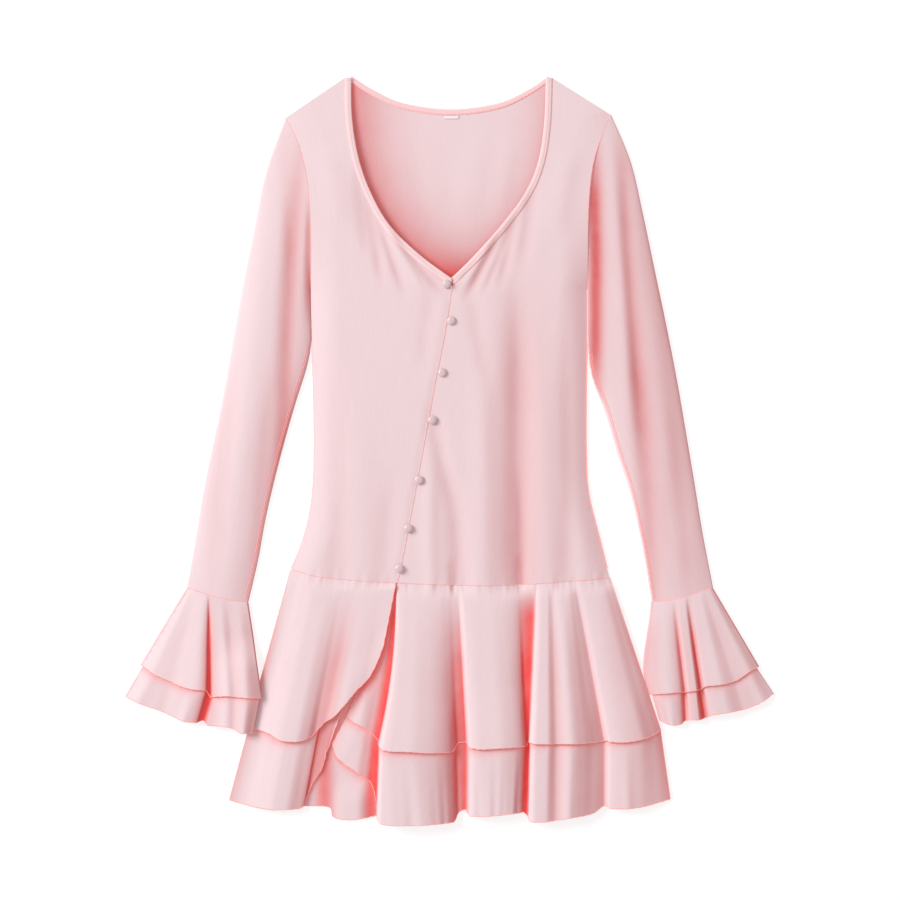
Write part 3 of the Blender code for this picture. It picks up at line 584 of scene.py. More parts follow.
def sew_thread(name, paths, radius, finish, wave=0.0, step=2.0, seed=1.0, closed=False):
    """Lay a cord along each path, in one piece."""
    curve = bpy.data.curves.new(name, "CURVE")
    curve.dimensions = "3D"
    curve.bevel_depth, curve.bevel_resolution, curve.use_fill_caps = radius * MM, 1, True
    for number, path in enumerate(paths):
        points, gone = respace(path, step)
        if closed:
            points, gone = points[:-1], gone[:-1]
        shake = uneven(gone, SWAY_LENGTH, seed + number)
        lift = uneven(gone, LIFT_LENGTH, seed + number + 5)
        points = points + np.stack([wave * shake, wave * lift, 0.4 * wave * shake], axis=1)
        spline = curve.splines.new("POLY")
        spline.points.add(len(points) - 1)
        spline.use_cyclic_u = closed
        flat = np.concatenate([(points + SHIFT) * MM, np.ones((len(points), 1))], axis=1)
        spline.points.foreach_set("co", flat.reshape(-1))
        spline.points.foreach_set("radius", 1.0 + 0.22 * lift * (wave > 0))
    cord = bpy.data.objects.new(name, curve)
    bpy.context.scene.collection.objects.link(cord)
    bpy.ops.object.select_all(action="DESELECT")
    cord.select_set(True)
    bpy.context.view_layer.objects.active = cord
    bpy.ops.object.convert(target="MESH")
    cord = bpy.context.object
    cord.data.name = name
    bpy.ops.object.shade_smooth()
    cord.data.materials.clear()
    cord.data.materials.append(finish)
    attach(cord, "root")
    return cord


def put_on(piece, node):
    """A piece rides on the dress and stands for its solid."""
    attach(piece, "root")
    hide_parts(node)
    return piece


# %% [markdown]
# ## The front's shape
#
# Both fronts are layers of one middle surface: low at the side seams, rounded up over the
# air trapped in the body, and level with the sleeve along the armhole. Long soft folds run
# down from the bust and fan out from the V of the neck. Each is a row in a table, with its two
# ends, its width, how far it rises, which is below zero for a trough, and how much coral shade
# is painted into it. The waist seam draws the cloth into small puckers. All of it is uneven,
# because cloth that was smoothed by hand is.

# %% Tables of folds
FRONT_EDGE = 2.45
TROUGH_FLOOR = 1.9                  # the back lies under it, so no trough goes deeper
EDGE_REACH = 32.0                   # how far in from a side the front reaches its full height
ARMHOLE_RISE = 4.0                  # the sleeve's height at the armhole, which the front meets
FRONT_RISE = [
    (-152, 4.6), (-60, 6), (60, 6.6), (180, 6), (260, 5), (330, 3.8), (412, 0.2),
]
# x0, y0, x1, y1, width, rise, coral (how much coral shade is painted in)
BODY_FOLDS = [
    (75, 235, 80, -270, 14, -3.1, 0.12), (84, 250, 88, -300, 34, -1.5, 0.14),
    (80, -5, 82, -240, 5, -1.3, 0.1), (-22, 60, 9, -80, 8, -1.5, 0.05), (5, -5, 16, -270, 10, -2.2, 0.1),
    (-24, 30, -17, -270, 8, 1.5, 0), (36, 150, 38, -280, 13, 1.4, 0), (104, 150, 108, -280, 14, 1.4, 0),
    (-96, 80, -104, -250, 18, 0.8, 0), (-128, 160, -124, -270, 14, -1, 0.06),
    (130, 210, 136, -270, 11, -1.2, 0.08), (-60, 0, -76, -230, 12, -0.8, 0.03),
    (-94, 300, -72, 170, 6, -1.1, 0.1), (-86, 276, -44, 160, 5, -1.2, 0.12),
    (-66, 248, 4, 160, 4.6, -1.4, 0.15), (-78, 262, -24, 166, 4.2, 0.9, 0),
    (-102, 330, -90, 200, 8, -0.9, 0.08), (-48, 234, 4, 178, 3.4, -0.9, 0.1),
    (66, 256, 14, 160, 5, -1.5, 0.17), (80, 280, 52, 170, 5.4, -1.2, 0.13),
    (52, 242, 12, 172, 4.2, 0.9, 0), (96, 320, 80, 190, 8, -1, 0.09), (74, 264, 34, 164, 4.2, -1, 0.1),
    (22, 196, 46, 60, 9, -0.8, 0.04), (-14, 196, -34, 75, 9, -0.6, 0.03),
    (-140, 350, -116, 240, 16, 0.9, 0), (138, 350, 110, 226, 15, 1, 0),
    (4, -118, 5, -166, 3.2, -1.2, 0.14), (79, -112, 80, -170, 3.2, -1.4, 0.18),
]
# The same columns; the last is painted coral shade.
SLEEVE_FOLDS = [
    (-163, 420, -199, -190, 10, -1.7, 0.42), (-202, 330, -247, -150, 14, 1, 0),
    (-157, 300, -158, 130, 4, -0.6, 0.4), (-192, 120, -224, -200, 9, -0.9, 0.14),
    (-236, 140, -272, -210, 12, -0.6, 0.06), (-188, 390, -176, 190, 8, -0.6, 0.08),
    (161, 400, 164, -10, 9.5, -2, 0.84), (178, 430, 208, -60, 8, 0.9, 0),
    (188, 430, 218, -60, 8, -1.3, 0.26), (206, 180, 236, -280, 10, -1.3, 0.24),
    (190, 440, 266, -300, 40, -0.4, 0.16), (222, 260, 252, -100, 11, 0.7, 0),
    (248, 110, 272, -210, 9, -0.5, 0.08),
]
FADE = 0.34                         # part of a fold's length over which each end fades out
WANDER, WANDER_LENGTH = 0.12, 5.3   # how far a fold's line wanders, and over what length, in its widths
LUMP_RISE, LUMP_SIZE = 0.28, 38.0
PUCKER_RISE, PUCKER_REACH, PUCKER_WIDTH = 0.32, 9.0, 17.0
TROUGH_ROUNDING = 0.3


# %% [markdown]
# ## Reading the folds
#
# Across a fold the cloth rises and falls like a bell curve, and along it the fold fades out at
# both ends. Its line wanders a little. The front's height adds up its broad rise, the folds, low
# lumps and the puckers, and is never lower than the back that lies under it.

# %% Heights of the front
def folds_at(folds, x, y):
    """Rise of the soft folds at each place, and the coral shade painted into their troughs."""
    rise, coral = np.zeros_like(x), np.zeros_like(x)
    for x0, y0, x1, y1, width, height, redness in folds:
        length = math.hypot(x1 - x0, y1 - y0)
        along = ((x - x0) * (x1 - x0) + (y - y0) * (y1 - y0)) / length
        across = ((x - x0) * (y1 - y0) - (y - y0) * (x1 - x0)) / length
        across = across + WANDER * width * np.sin(along / (WANDER_LENGTH * width) + x0)
        ends = ease(along / (FADE * length)) * ease((length - along) / (FADE * length))
        shape = ends * np.exp(-(across / width) ** 2)
        rise += height * shape
        coral += redness * shape
    return rise, coral


def lumps(x, y, size):
    """Broad uneven ground, between about -1 and 1."""
    return (0.4 * np.sin(x / size + 0.6 * np.sin(y / (1.7 * size)) + 1.1)
            + 0.35 * np.sin(y / (1.3 * size) + 0.8 * np.sin(x / (2.1 * size)) + 2.7)
            + 0.25 * np.sin((x + y) / (0.8 * size) + 4.0))


def front_surface(x, y):
    """Height of the front's middle surface, and the coral shade painted into its troughs."""
    rise = read_curve(FRONT_RISE, np.clip(y, FRONT_RISE[0][0], FRONT_RISE[-1][0]), 0)
    from_right = x - side_x(SIDE_RIGHT, np.clip(y, -134, 371))
    from_left = side_x(SIDE_LEFT, np.clip(y, -143, 375)) - x
    inside = np.clip(np.minimum(from_right, from_left) / EDGE_REACH, 0.0, 1.0)
    swell = np.sin(0.5 * np.pi * inside)
    up_armhole = np.clip((y - UNDERARM) / (ARMHOLE_TOP - UNDERARM), 0.0, 1.0)
    armhole = ARMHOLE_RISE * np.sin(np.pi * up_armhole) ** 0.8 * (1 - swell)
    folds, coral = folds_at(BODY_FOLDS, x, y)
    above_waist = y - waist_y(x)
    pucker = fading(PUCKER_RISE, above_waist, PUCKER_REACH, 2) * uneven(x, PUCKER_WIDTH, 2.0)
    height = FRONT_EDGE + armhole + swell * (rise + folds + LUMP_RISE * lumps(x, y, LUMP_SIZE)) + pucker
    height = TROUGH_FLOOR + TROUGH_ROUNDING * np.logaddexp(0, (height - TROUGH_FLOOR) / TROUGH_ROUNDING)
    return height, coral * swell


def front_ground(x, y):
    """Height of the front alone."""
    return front_surface(x, y)[0]


def along_front(x, y, lift):
    """Places on the front's surface, this far above its middle."""
    return np.stack([x, y, front_ground(x, y) + lift], axis=-1)


# %% [markdown]
# ## Two wrap fronts
#
# Each front is cut from the side seam to the wrap edge, and above the V to the neck seam. A
# table row is a section: where it starts on the side and where its other end lies. The right
# front lies on top, so it is the upper layer of the middle surface.

# %% Cut and lay the fronts
V_ROW = 6
# side_y, edge_x, edge_y
FRONT_RIGHT_ROWS = [
    (-134, -59, -149), (-99, -51, -110), (-58, -42, -62), (-4, -32, -8), (69, -18, 69), (130, -6, 130),
    (180, 2, 183), (238, -36, 211), (281, -72, 246), (313, -95, 286), (338, -109, 327), (357, -116, 372),
    (371, -117, 416),
]
FRONT_LEFT_ROWS = [
    (-143, -70, -149), (-103, -62, -110), (-50, -53, -62), (-4, -43, -8), (69, -29, 69), (130, -17, 130),
    (180, 4, 184), (225, 29, 208), (270, 64, 247), (308, 91, 284), (335, 106, 320), (357, 113, 364),
    (375, 115, 416),
]
ROWS_BELOW, ROWS_ABOVE, ACROSS = 104, 84, 64
EDGE_DROP, EDGE_ROLL = 0.42, 6.0    # the wrap edge is pressed down towards the layer under it


def row_numbers(start=0.0):
    """Row numbers of the grid's rows, closer together where the front is long."""
    last = len(FRONT_RIGHT_ROWS) - 1
    numbers = np.concatenate([np.linspace(0, V_ROW, ROWS_BELOW), np.linspace(V_ROW, last, ROWS_ABOVE)[1:]])
    return numbers[numbers >= start]


def front_places(rows, side):
    """Middle surface of a front, with columns from left to right in the picture."""
    u = row_numbers()
    side_y, edge_x, edge_y = between(rows, u, V_ROW).T
    start_x = side_x(side, side_y)
    t = np.linspace(0, 1, ACROSS)
    s = mix(t, t * t, 0.45)
    x, y = mix(start_x[:, None], edge_x[:, None], s), mix(side_y[:, None], edge_y[:, None], s)
    seam_bend = waist_y(x[0]) - y[0]      # the lowest row follows the waist seam's curve
    y = y + seam_bend * np.clip(1 - u, 0, 1)[:, None]
    height, coral = front_surface(x, y)
    places = np.stack([x, y, height], axis=2)
    return (places[:, ::-1], coral[:, ::-1]) if side is SIDE_LEFT else (places, coral)


FRONTS = {}
for label, rows, side, layer in (("right", FRONT_RIGHT_ROWS, SIDE_RIGHT, LAYER),
                                 ("left", FRONT_LEFT_ROWS, SIDE_LEFT, -LAYER)):
    middle, coral = front_places(rows, side)
    FRONTS[label] = stand_off(middle, layer)
    if label == "right":
        near_edge = middle[:ROWS_BELOW, -1:, 0] - middle[:ROWS_BELOW, :, 0]
        FRONTS[label][:ROWS_BELOW, :, 2] -= EDGE_DROP * ease(1 - near_edge / EDGE_ROLL)
    front = lay_cloth("cloth_front_" + label, FRONTS[label], PALE_JERSEY, coral)
    put_on(front, "front_bodice_" + label)
# The left front is the last one laid. It gets a little painted coral shade and glow beside the wrap edge.
shade_beside(front, FRONTS["right"][:ROWS_BELOW, -1], 2.5, 0.06, 0.3)

# %% [markdown]
# ## The back
#
# The back is one piece from the waist to the shoulders and lies flat. Its inside shows through
# the neck, so it has a few very soft waves there, and along the neck seam it is painted pinker,
# as shade beside the front's edge, with a little painted glow. The grid's rows run from the
# waist seam up to the shoulder and neck line, and its columns share out the width between the
# side seams.

# %% Cut and lay the back
BACK_INSET, BACK_MIDDLE = 0.8, 0.55
BACK_WAVE = 0.9                     # rise of the soft waves inside the neck
# x0, y0, x1, y1, width, rise, coral
BACK_FOLDS = [
    (-66, 360, -30, 230, 14, 0.5, 0), (-30, 372, -6, 240, 12, 0.4, 0), (40, 372, 10, 230, 16, 0.6, 0),
    (70, 360, 52, 250, 10, 0.5, 0),
]


def back_top(fractions):
    """Height in y of the shoulder and neck line for each fraction of the width."""
    neck = dense(BACK_NECK)
    line = np.concatenate([[(-183, 371), SHOULDER_RIGHT], neck, [SHOULDER_LEFT, (180, 375)]])
    left = side_x(SIDE_RIGHT, line[:, 1].clip(-134, 371))
    right = side_x(SIDE_LEFT, line[:, 1].clip(-143, 375))
    return np.interp(fractions, (line[:, 0] - left) / (right - left), line[:, 1] - 0.3)


fractions = np.linspace(0, 1, 100)
waist_x = mix(WAIST[0][0], WAIST[-1][0], fractions)
up = np.linspace(0, 1, 110)[:, None]
y = mix(waist_y(waist_x)[None, :] + BACK_INSET, back_top(fractions)[None, :], up)
left_x = side_x(SIDE_RIGHT, y.clip(-134, 371)) + BACK_INSET
right_x = side_x(SIDE_LEFT, y.clip(-143, 375)) - BACK_INSET
x = mix(left_x, right_x, fractions[None, :])
waves, _ = folds_at(BACK_FOLDS, x, y)
z = BACK_MIDDLE + np.clip(waves + 0.15 * lumps(x, y, 24.0), 0.0, None) * BACK_WAVE
BACK = np.stack([x, y, z], axis=2)


neck_edges = [dense(rows[V_ROW:], 8)[:, 1:] for rows in (FRONT_RIGHT_ROWS, FRONT_LEFT_ROWS)]
from_right, from_left = [distance_to(edge, BACK[..., :2].reshape(-1, 2)).reshape(x.shape)
                         for edge in neck_edges]
# Painted coral shade along both neck edges, and painted glow close to them.
painted_neck_shade = fading(0.74, from_right, 40.0) + fading(0.34, from_left, 26.0, 1.4)
painted_neck_glow = fading(1.2, from_right, 10.0) + fading(0.6, from_left, 7.0)
back = lay_cloth("cloth_back", BACK, PALE_JERSEY, painted_neck_shade, painted_glow=painted_neck_glow)
put_on(back, "back_bodice")

# %% [markdown]
# ## Neck band and tab
#
# The neck is bound with a strip of the same jersey folded in half, so the band is a flat tube
# of two plies with a rounded fold at its free edge. It follows the neck seam at a fixed
# distance. The dashed line on the back half is the twin-needle stitch that holds the fold, and
# a small blank tab is caught under it.

# %% Bind the neck
BAND_WIDTH, BAND_WALL = 7.0, 0.45
BAND_LOW, BAND_HIGH = 0.25, 1.35    # middle of the band's two plies above its layer
BAND_COLUMNS = 9
CUT_REACH = 15.0                    # length over which a band's slanted end is eased in


def band_between(line, way, ground, low, high, cut=0.0, thin=0.0):
    """A folded strip that starts on a line and reaches its own width the given way."""
    d = np.linspace(0.0, 1.0, BAND_COLUMNS)
    reach = 0.5 + d * (BAND_WIDTH - 1.1)
    run = np.stack([-way[:, 1], way[:, 0]], axis=1) * np.sign(cut or 1.0)
    gone = np.concatenate([[0.0], np.cumsum(np.linalg.norm(np.diff(line, axis=0), axis=1))])[:, None]
    back_off = abs(cut) * reach * np.clip(1 - gone / CUT_REACH, 0.0, 1.0)
    x = line[:, None, 0] + way[:, None, 0] * reach + run[:, None, 0] * back_off
    y = line[:, None, 1] + way[:, None, 1] * reach + run[:, None, 1] * back_off
    z = ground(x, y)
    near_end = thin * (1 - ease(gone / CUT_REACH))
    high = high - 0.5 * near_end
    crown = 0.25 * (1 - (2 * d - 1) ** 4) * (1 - near_end)
    top = np.stack([x, y, z + high + crown], axis=2)
    return top, np.stack([x, y, z + low + 0 * crown], axis=2)


NECK_LINES, BAND_LINES = {}, {}
# which front, its table, the side its band lies on, where it starts, its layer, its slant, its thinning
for label, rows, turn, start, layer, cut, thin in (
        ("right", FRONT_RIGHT_ROWS, 1, V_ROW + 0.001, 0.15, 0.7, 0.0),
        ("left", FRONT_LEFT_ROWS, -1, V_ROW + 0.06, -1.15, 0.0, 1.0)):
    u = np.concatenate([[start], row_numbers(start + 0.05)])
    here = between(rows, u, V_ROW)[:, 1:]
    ahead = between(rows, np.minimum(u + 0.05, len(rows) - 1), V_ROW)[:, 1:]
    behind = between(rows, np.maximum(u - 0.05, V_ROW + 0.001), V_ROW)[:, 1:]
    run = (ahead - behind) / np.linalg.norm(ahead - behind, axis=1, keepdims=True)
    way = np.stack([turn * run[:, 1], -turn * run[:, 0]], axis=1)
    top, under = band_between(here, way, front_ground, layer + BAND_LOW, layer + BAND_HIGH, cut, thin)
    if turn < 0:
        top, under = top[:, ::-1], under[:, ::-1]
    ring = wrap_round(top, under, 0.55)
    # A trace of painted coral shade.
    band = lay_cloth("cloth_neck_band_" + label, ring, BAND_JERSEY, 0.02, BAND_WALL, joined=True)
    put_on(band, "neck_binding_front_" + label)
    NECK_LINES[label] = along_front(here[:, 0], here[:, 1], 0.0)
    BAND_LINES[label] = top[:, 4 if turn > 0 else -5] + (0.0, 0.0, 0.2)

neck = dense(BACK_NECK, 16)
top, under = band_between(neck, np.tile([0.0, 1.0], (len(neck), 1)), lambda x, y: 0 * x, 0.3, 1.0)
ring = wrap_round(top, under, 0.4)
# The back band is painted a little coral as shade, with a little painted glow.
band = lay_cloth("cloth_neck_band_back", ring, BAND_JERSEY, 0.14, 0.4, joined=True, painted_glow=0.3)
put_on(band, "neck_binding_back")

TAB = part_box("neck_label")
tab_low, tab_high = np.array(TAB[0]) / MM - SHIFT, np.array(TAB[1]) / MM - SHIFT
s, t = np.meshgrid(np.linspace(0, 1, 21), np.linspace(0, 1, 9))
tab_z = 0.5 * (tab_low[2] + tab_high[2]) + 0.25 * np.sin(np.pi * s) * (1 - t)
tab = lay_cloth("satin_tab", np.stack([mix(tab_low[0], tab_high[0], s), mix(tab_low[1], tab_high[1], t),
                                       tab_z], axis=2), TAPE, 0.0, 0.5)
put_on(tab, "neck_label")

# %% [markdown]
# ## Sleeves
#
# A sleeve is cut flat and sewn into a tube. Laid down, the tube is a flat underside on the
# floor, two folded edges and a softly swollen top. The grid goes once round the arm and its
# first column is sewn to its last. Above, the rings follow the armhole; below, they follow
# the curved cuff seam.

# %% Lay the sleeves
# outer_x, outer_y, inner_x, inner_y, rise
SLEEVE_RIGHT_ROWS = [
    (-183, 371, -155, 179, 4), (-204, 312, -154.6, 152, 5.5), (-216, 255, -154.6, 120, 7.5),
    (-228, 195, -159.5, 92, 8.5), (-240, 130, -172, 52, 9), (-252, 62, -184, 10, 8.5),
    (-264, 5, -196, -36, 8), (-274, -44, -206, -80, 7), (-284, -105, -214, -124, 6),
    (-293, -154, -225, -171, 4),
]
SLEEVE_LEFT_ROWS = [
    (180, 375, 154, 179, 4), (202, 322, 154, 152, 5.5), (216, 262, 154.3, 117, 7.5),
    (229, 200, 159.5, 80, 8.5), (242, 138, 174, 42, 9), (254, 76, 188, -5, 8.5), (264, 18, 201, -44, 8),
    (273, -36, 211, -86, 7), (283, -97, 219, -127, 6), (294, -154, 226, -170, 4),
]
CUFF_SEAM_RIGHT = [
    (-293, -154), (-279, -159), (-260, -165), (-240, -169), (-225, -171),
]
CUFF_SEAM_LEFT = [
    (226, -170), (240, -169), (254, -167), (269, -163), (283, -158), (294, -154),
]
CURVED_SEAM = 0.6
FLOOR_LEVEL = 0.5                   # middle of the wall that lies on the floor
SLEEVE_TURN = 1.2                   # radius of a sleeve's folded edges
ARMHOLE_REACH, CUFF_REACH = 2.5, 2.0
FLAT_TOP, PRESSED = 0.5, 0.72       # between its ends a sleeve is pressed lower and flatter
SLEEVE_ROWS, SLEEVE_TOP, SLEEVE_UNDER = 150, 64, 26


def sleeve_places(rows, armhole, cuff_seam, outward):
    """A sleeve's top, its underside, and the coral shade painted into its troughs."""
    last = len(rows) - 1
    u = np.linspace(0, last, SLEEVE_ROWS)
    outer_x, outer_y, inner_x, inner_y, rise = [c[:, None] for c in between(rows, u).T]
    width = np.hypot(inner_x - outer_x, inner_y - outer_y)
    even = np.linspace(0, 1, SLEEVE_TOP)[None, :]
    even = mix(even, 0.5 - 0.5 * np.cos(np.pi * even), 0.6)
    s = mix(SLEEVE_TURN / width, 1 - SLEEVE_TURN / width, even)
    x, y = mix(outer_x, inner_x, s), mix(outer_y, inner_y, s)
    at_armhole = np.clip(1 - u / ARMHOLE_REACH, 0, 1)[:, None] ** 2
    at_cuff = np.clip(1 - (last - u) / CUFF_REACH, 0, 1)[:, None] ** 2
    first_x, first_y = mix(rows[0][0], rows[0][2], s), mix(rows[0][1], rows[0][3], s)
    x = x + at_armhole * (side_x(armhole, first_y) - first_x) + outward * CURVED_SEAM
    end_x, end_y = mix(rows[-1][0], rows[-1][2], s), mix(rows[-1][1], rows[-1][3], s)
    y = y + at_cuff * (read_curve(cuff_seam, end_x, 0) - end_y)
    folds, coral = folds_at(SLEEVE_FOLDS, x, y)
    open_arm = ease(u / 2.0)[:, None] * ease((last - u) / 2.0)[:, None]
    swell = np.sin(np.pi * s) ** mix(0.8, FLAT_TOP, open_arm)
    rise = rise * mix(1.0, PRESSED, open_arm)
    z = FLOOR_LEVEL + 2 * SLEEVE_TURN + swell * (rise + folds + 0.25 * lumps(x, y, 30.0))
    top, under = np.stack([x, y, z], axis=2), np.stack([x, y, 0 * x + FLOOR_LEVEL], axis=2)
    under = under[:, np.linspace(0, SLEEVE_TOP - 1, SLEEVE_UNDER).round().astype(int)]
    coral = coral * ease(swell / 0.12)
    return (top[:, ::-1], under[:, ::-1], coral[:, ::-1]) if outward > 0 else (top, under, coral)


SLEEVES = {}
for label, rows, armhole, seam, outward in (("right", SLEEVE_RIGHT_ROWS, SIDE_RIGHT, CUFF_SEAM_RIGHT, -1),
                                            ("left", SLEEVE_LEFT_ROWS, SIDE_LEFT, CUFF_SEAM_LEFT, 1)):
    top, under, coral = sleeve_places(rows, armhole, seam, outward)
    ring = wrap_round(top, under, SLEEVE_TURN)
    # tint carries the painted coral shade of the troughs.
    tint = np.zeros(ring.shape[:2])
    tint[:, :coral.shape[1]] = coral
    sleeve = lay_cloth("cloth_sleeve_" + label, ring, PALE_JERSEY, tint, joined=True)
    put_on(sleeve, "sleeve_" + label)
    SLEEVES[label] = top

# %% [markdown]
# ## Cuff flounces
#
# Each cuff has two circular flounces, one inside the other. A table row is a fold line from
# the seam to both hems, with its height and how much coral shade is painted on it: a line on a
# crest is pale, a line in a fold is painted coral as shade. The inner flounce is the same surface
# one layer down, and runs on to its own hem. The right cuff lies partly on the skirt, so it
# climbs there.

# %% Lines of the cuffs
# seam_x, upper_x, upper_y, lower_x, lower_y, height, swell, coral (painted shade)
CUFF_RIGHT_LINES = [
    (-293, -345, -241, -364, -276, 4.2, 0, 0), (-288, -330, -251, -346, -284, 8.5, 0, 0),
    (-284, -314, -258, -325, -291, 8.4, 0, 0.04), (-279, -298, -265, -307, -299, 10.5, 0, 0),
    (-275, -284, -268, -295, -304, 12, 0, 0), (-271.5, -273, -268.5, -283, -305, 10.5, 0, 0.35),
    (-268.5, -267.5, -277, -276, -303, 5, 0, 1), (-264, -262, -276, -270, -308, 10, 0, 0.25),
    (-256, -249, -275, -254, -309, 11.5, 0, 0), (-247, -238, -276, -240, -312, 8.6, 0, 0.14),
    (-236, -226, -277, -231, -317, 9.5, 0, 0.05), (-225, -209, -278, -218, -317, 4.2, 0, 0),
]
CUFF_LEFT_LINES = [
    (226, 224, -274, 234, -304, 4.2, -7, 0.3), (233, 234, -273, 241, -306, 8, -4, 0.15),
    (240, 246, -272, 250, -308, 9.5, -2, 0), (247, 257, -271, 259, -307, 8, 0, 0.2),
    (251, 263.5, -271, 264, -303, 5, 0, 0.6), (256, 268, -270, 270, -302, 10, 0, 0.15),
    (262, 275, -269, 278, -302, 10.5, 0, 0.15), (266, 281, -268, 286, -300, 5.2, 0, 0.7),
    (272, 287, -264, 292, -297, 11, 0, 0.1), (279, 302, -262.5, 310, -294, 12, 0, 0),
    (285, 320, -258, 330, -290, 8.5, 0, 0.12), (290, 334, -249, 348, -283, 8.5, 0, 0.05),
    (294, 346, -243, 364, -273, 4.2, 0, 0),
]
CUFF_EDGE, CUFF_SEAM_RISE = 4.2, 3.0
CUFF_TURN, INNER_TURN, INNER_INSET = 2.15, 0.8, 2.6
CUFF_LIFT, LIFT_X, LIFT_Y = 7.2, (-264, -224), (-205, -245)
CUFF_ROWS, CUFF_MORE_ROWS, PER_LINE = 34, 14, 11
PLY = 1.3                           # one wall and the space under the next
HEM_FLARE = 1.6                     # how much an upper hem stands off the flounce under it


# %% [markdown]
# Down a cuff the cloth goes straight from the seam to the upper hem, and the inner flounce runs
# on to its own hem. The underside is a flat wall on the floor, as wide as the top.

# %% Lay the cuffs
def cuff_places(lines, seam, inner):
    """A cuff flounce's top, its underside, and the coral shade painted into its folds."""
    last = len(lines) - 1
    k = np.linspace(0, last, last * PER_LINE + 1)
    seam_x, up_x, up_y, low_x, low_y, height, swell, coral = through(lines, PER_LINE).T
    t = np.linspace(0, 1, CUFF_ROWS)[:, None]
    x = mix(seam_x, up_x, t) + swell * 6.75 * t * t * (1 - t)
    y = mix(read_curve(seam, seam_x, 0) - CURVED_SEAM, up_y, t)
    start = CUFF_EDGE + CUFF_SEAM_RISE * np.sin(np.pi * k / last)
    z = mix(start, height, t ** 0.8)
    tint = coral * np.clip(t / 0.45, 0, 1) ** 0.8
    if inner:
        e = np.linspace(0, 1, CUFF_MORE_ROWS)[1:, None]
        x, y = np.concatenate([x, mix(up_x, low_x, e)]), np.concatenate([y, mix(up_y, low_y, e)])
        z = np.concatenate([z, 0 * e + height + 0.5 * e * uneven(k * 9.0, 23.0, 3.0)])
        tint = np.concatenate([tint, 0 * e + coral])
    middle = np.stack([x, y, z], axis=2)
    if inner:
        top = stand_off(middle, -LAYER)
        inset = INNER_INSET * (1 - 0.6 * np.clip(np.arange(len(x)) - CUFF_ROWS, 0, None) / CUFF_MORE_ROWS)
        centre, half = 0.5 * (top[:, :1] + top[:, -1:]), 0.5 * (top[:, -1:] - top[:, :1])
        shrink = 1 - inset[:, None, None] / np.linalg.norm(half, axis=2, keepdims=True)
        edge = np.abs(np.linspace(-1, 1, len(k)))[None, :, None] ** 6
        top[..., :2] = mix(top, centre + (top - centre) * shrink, edge)[..., :2]
    else:
        top = stand_off(middle, LAYER)
        top[..., 2] += HEM_FLARE * ease((t - 0.55) / 0.45) * np.sin(np.pi * k / last) ** 0.5
    lowest = FLOOR_LEVEL + (PLY if inner else 0.0)
    turn = INNER_TURN if inner else CUFF_TURN
    way = top[:, -1:, :2] - top[:, :1, :2]
    way /= np.linalg.norm(way, axis=2, keepdims=True)
    pull = turn * (1 - np.linspace(0, 2, len(k)))[None, :, None]
    pull = np.sign(pull) * np.abs(pull / turn) ** 7 * turn
    top[..., :2] += way * pull
    under = top.copy()
    under[..., 2] = lowest
    lift = np.zeros_like(top[..., 2])
    if seam is CUFF_SEAM_RIGHT:
        over = ease((top[..., 0] - LIFT_X[0]) / (LIFT_X[1] - LIFT_X[0]))
        lift = CUFF_LIFT * over * ease((LIFT_Y[0] - top[..., 1]) / (LIFT_Y[0] - LIFT_Y[1]))
    top[..., 2] += lift
    under[..., 2] += lift
    return top, under, tint


CUFF_HEMS = {}
for label, lines, seam in (("right", CUFF_RIGHT_LINES, CUFF_SEAM_RIGHT),
                           ("left", CUFF_LEFT_LINES, CUFF_SEAM_LEFT)):
    for tier, inner in (("lower", True), ("upper", False)):
        top, under, coral = cuff_places(lines, seam, inner)
        ring = wrap_round(top, under[:, ::3], INNER_TURN if inner else CUFF_TURN)
        # Painted coral shade, a little of it all round, and painted glow in the deepest folds.
        tint, painted_glow = np.full(ring.shape[:2], 0.3), np.zeros(ring.shape[:2])
        tint[:, :coral.shape[1]], painted_glow[:, :coral.shape[1]] = coral, coral ** 2
        cuff = lay_cloth("cloth_cuff_%s_%s" % (tier, label), ring, PALE_JERSEY, tint, joined=True, painted_glow=painted_glow)
        put_on(cuff, "cuff_%s_%s" % (tier, label))
        hem = sew_thread("rolled_hem_cuff_%s_%s" % (tier, label), [ring[-1]], CUFF_CORD, CORAL_THREAD,
                         wave=0.35, step=2.2, seed=len(CUFF_HEMS) + 1.0, closed=True)
        CUFF_HEMS[tier, label] = top[-1]
        # Under the upper flounce's hem the inner flounce gets a painted coral shadow and glow.
        if tier == "upper":
            shade_beside(lower_cuff, CUFF_HEMS[tier, label], 6.0, 0.35, 0.5)
        lower_cuff = cuff
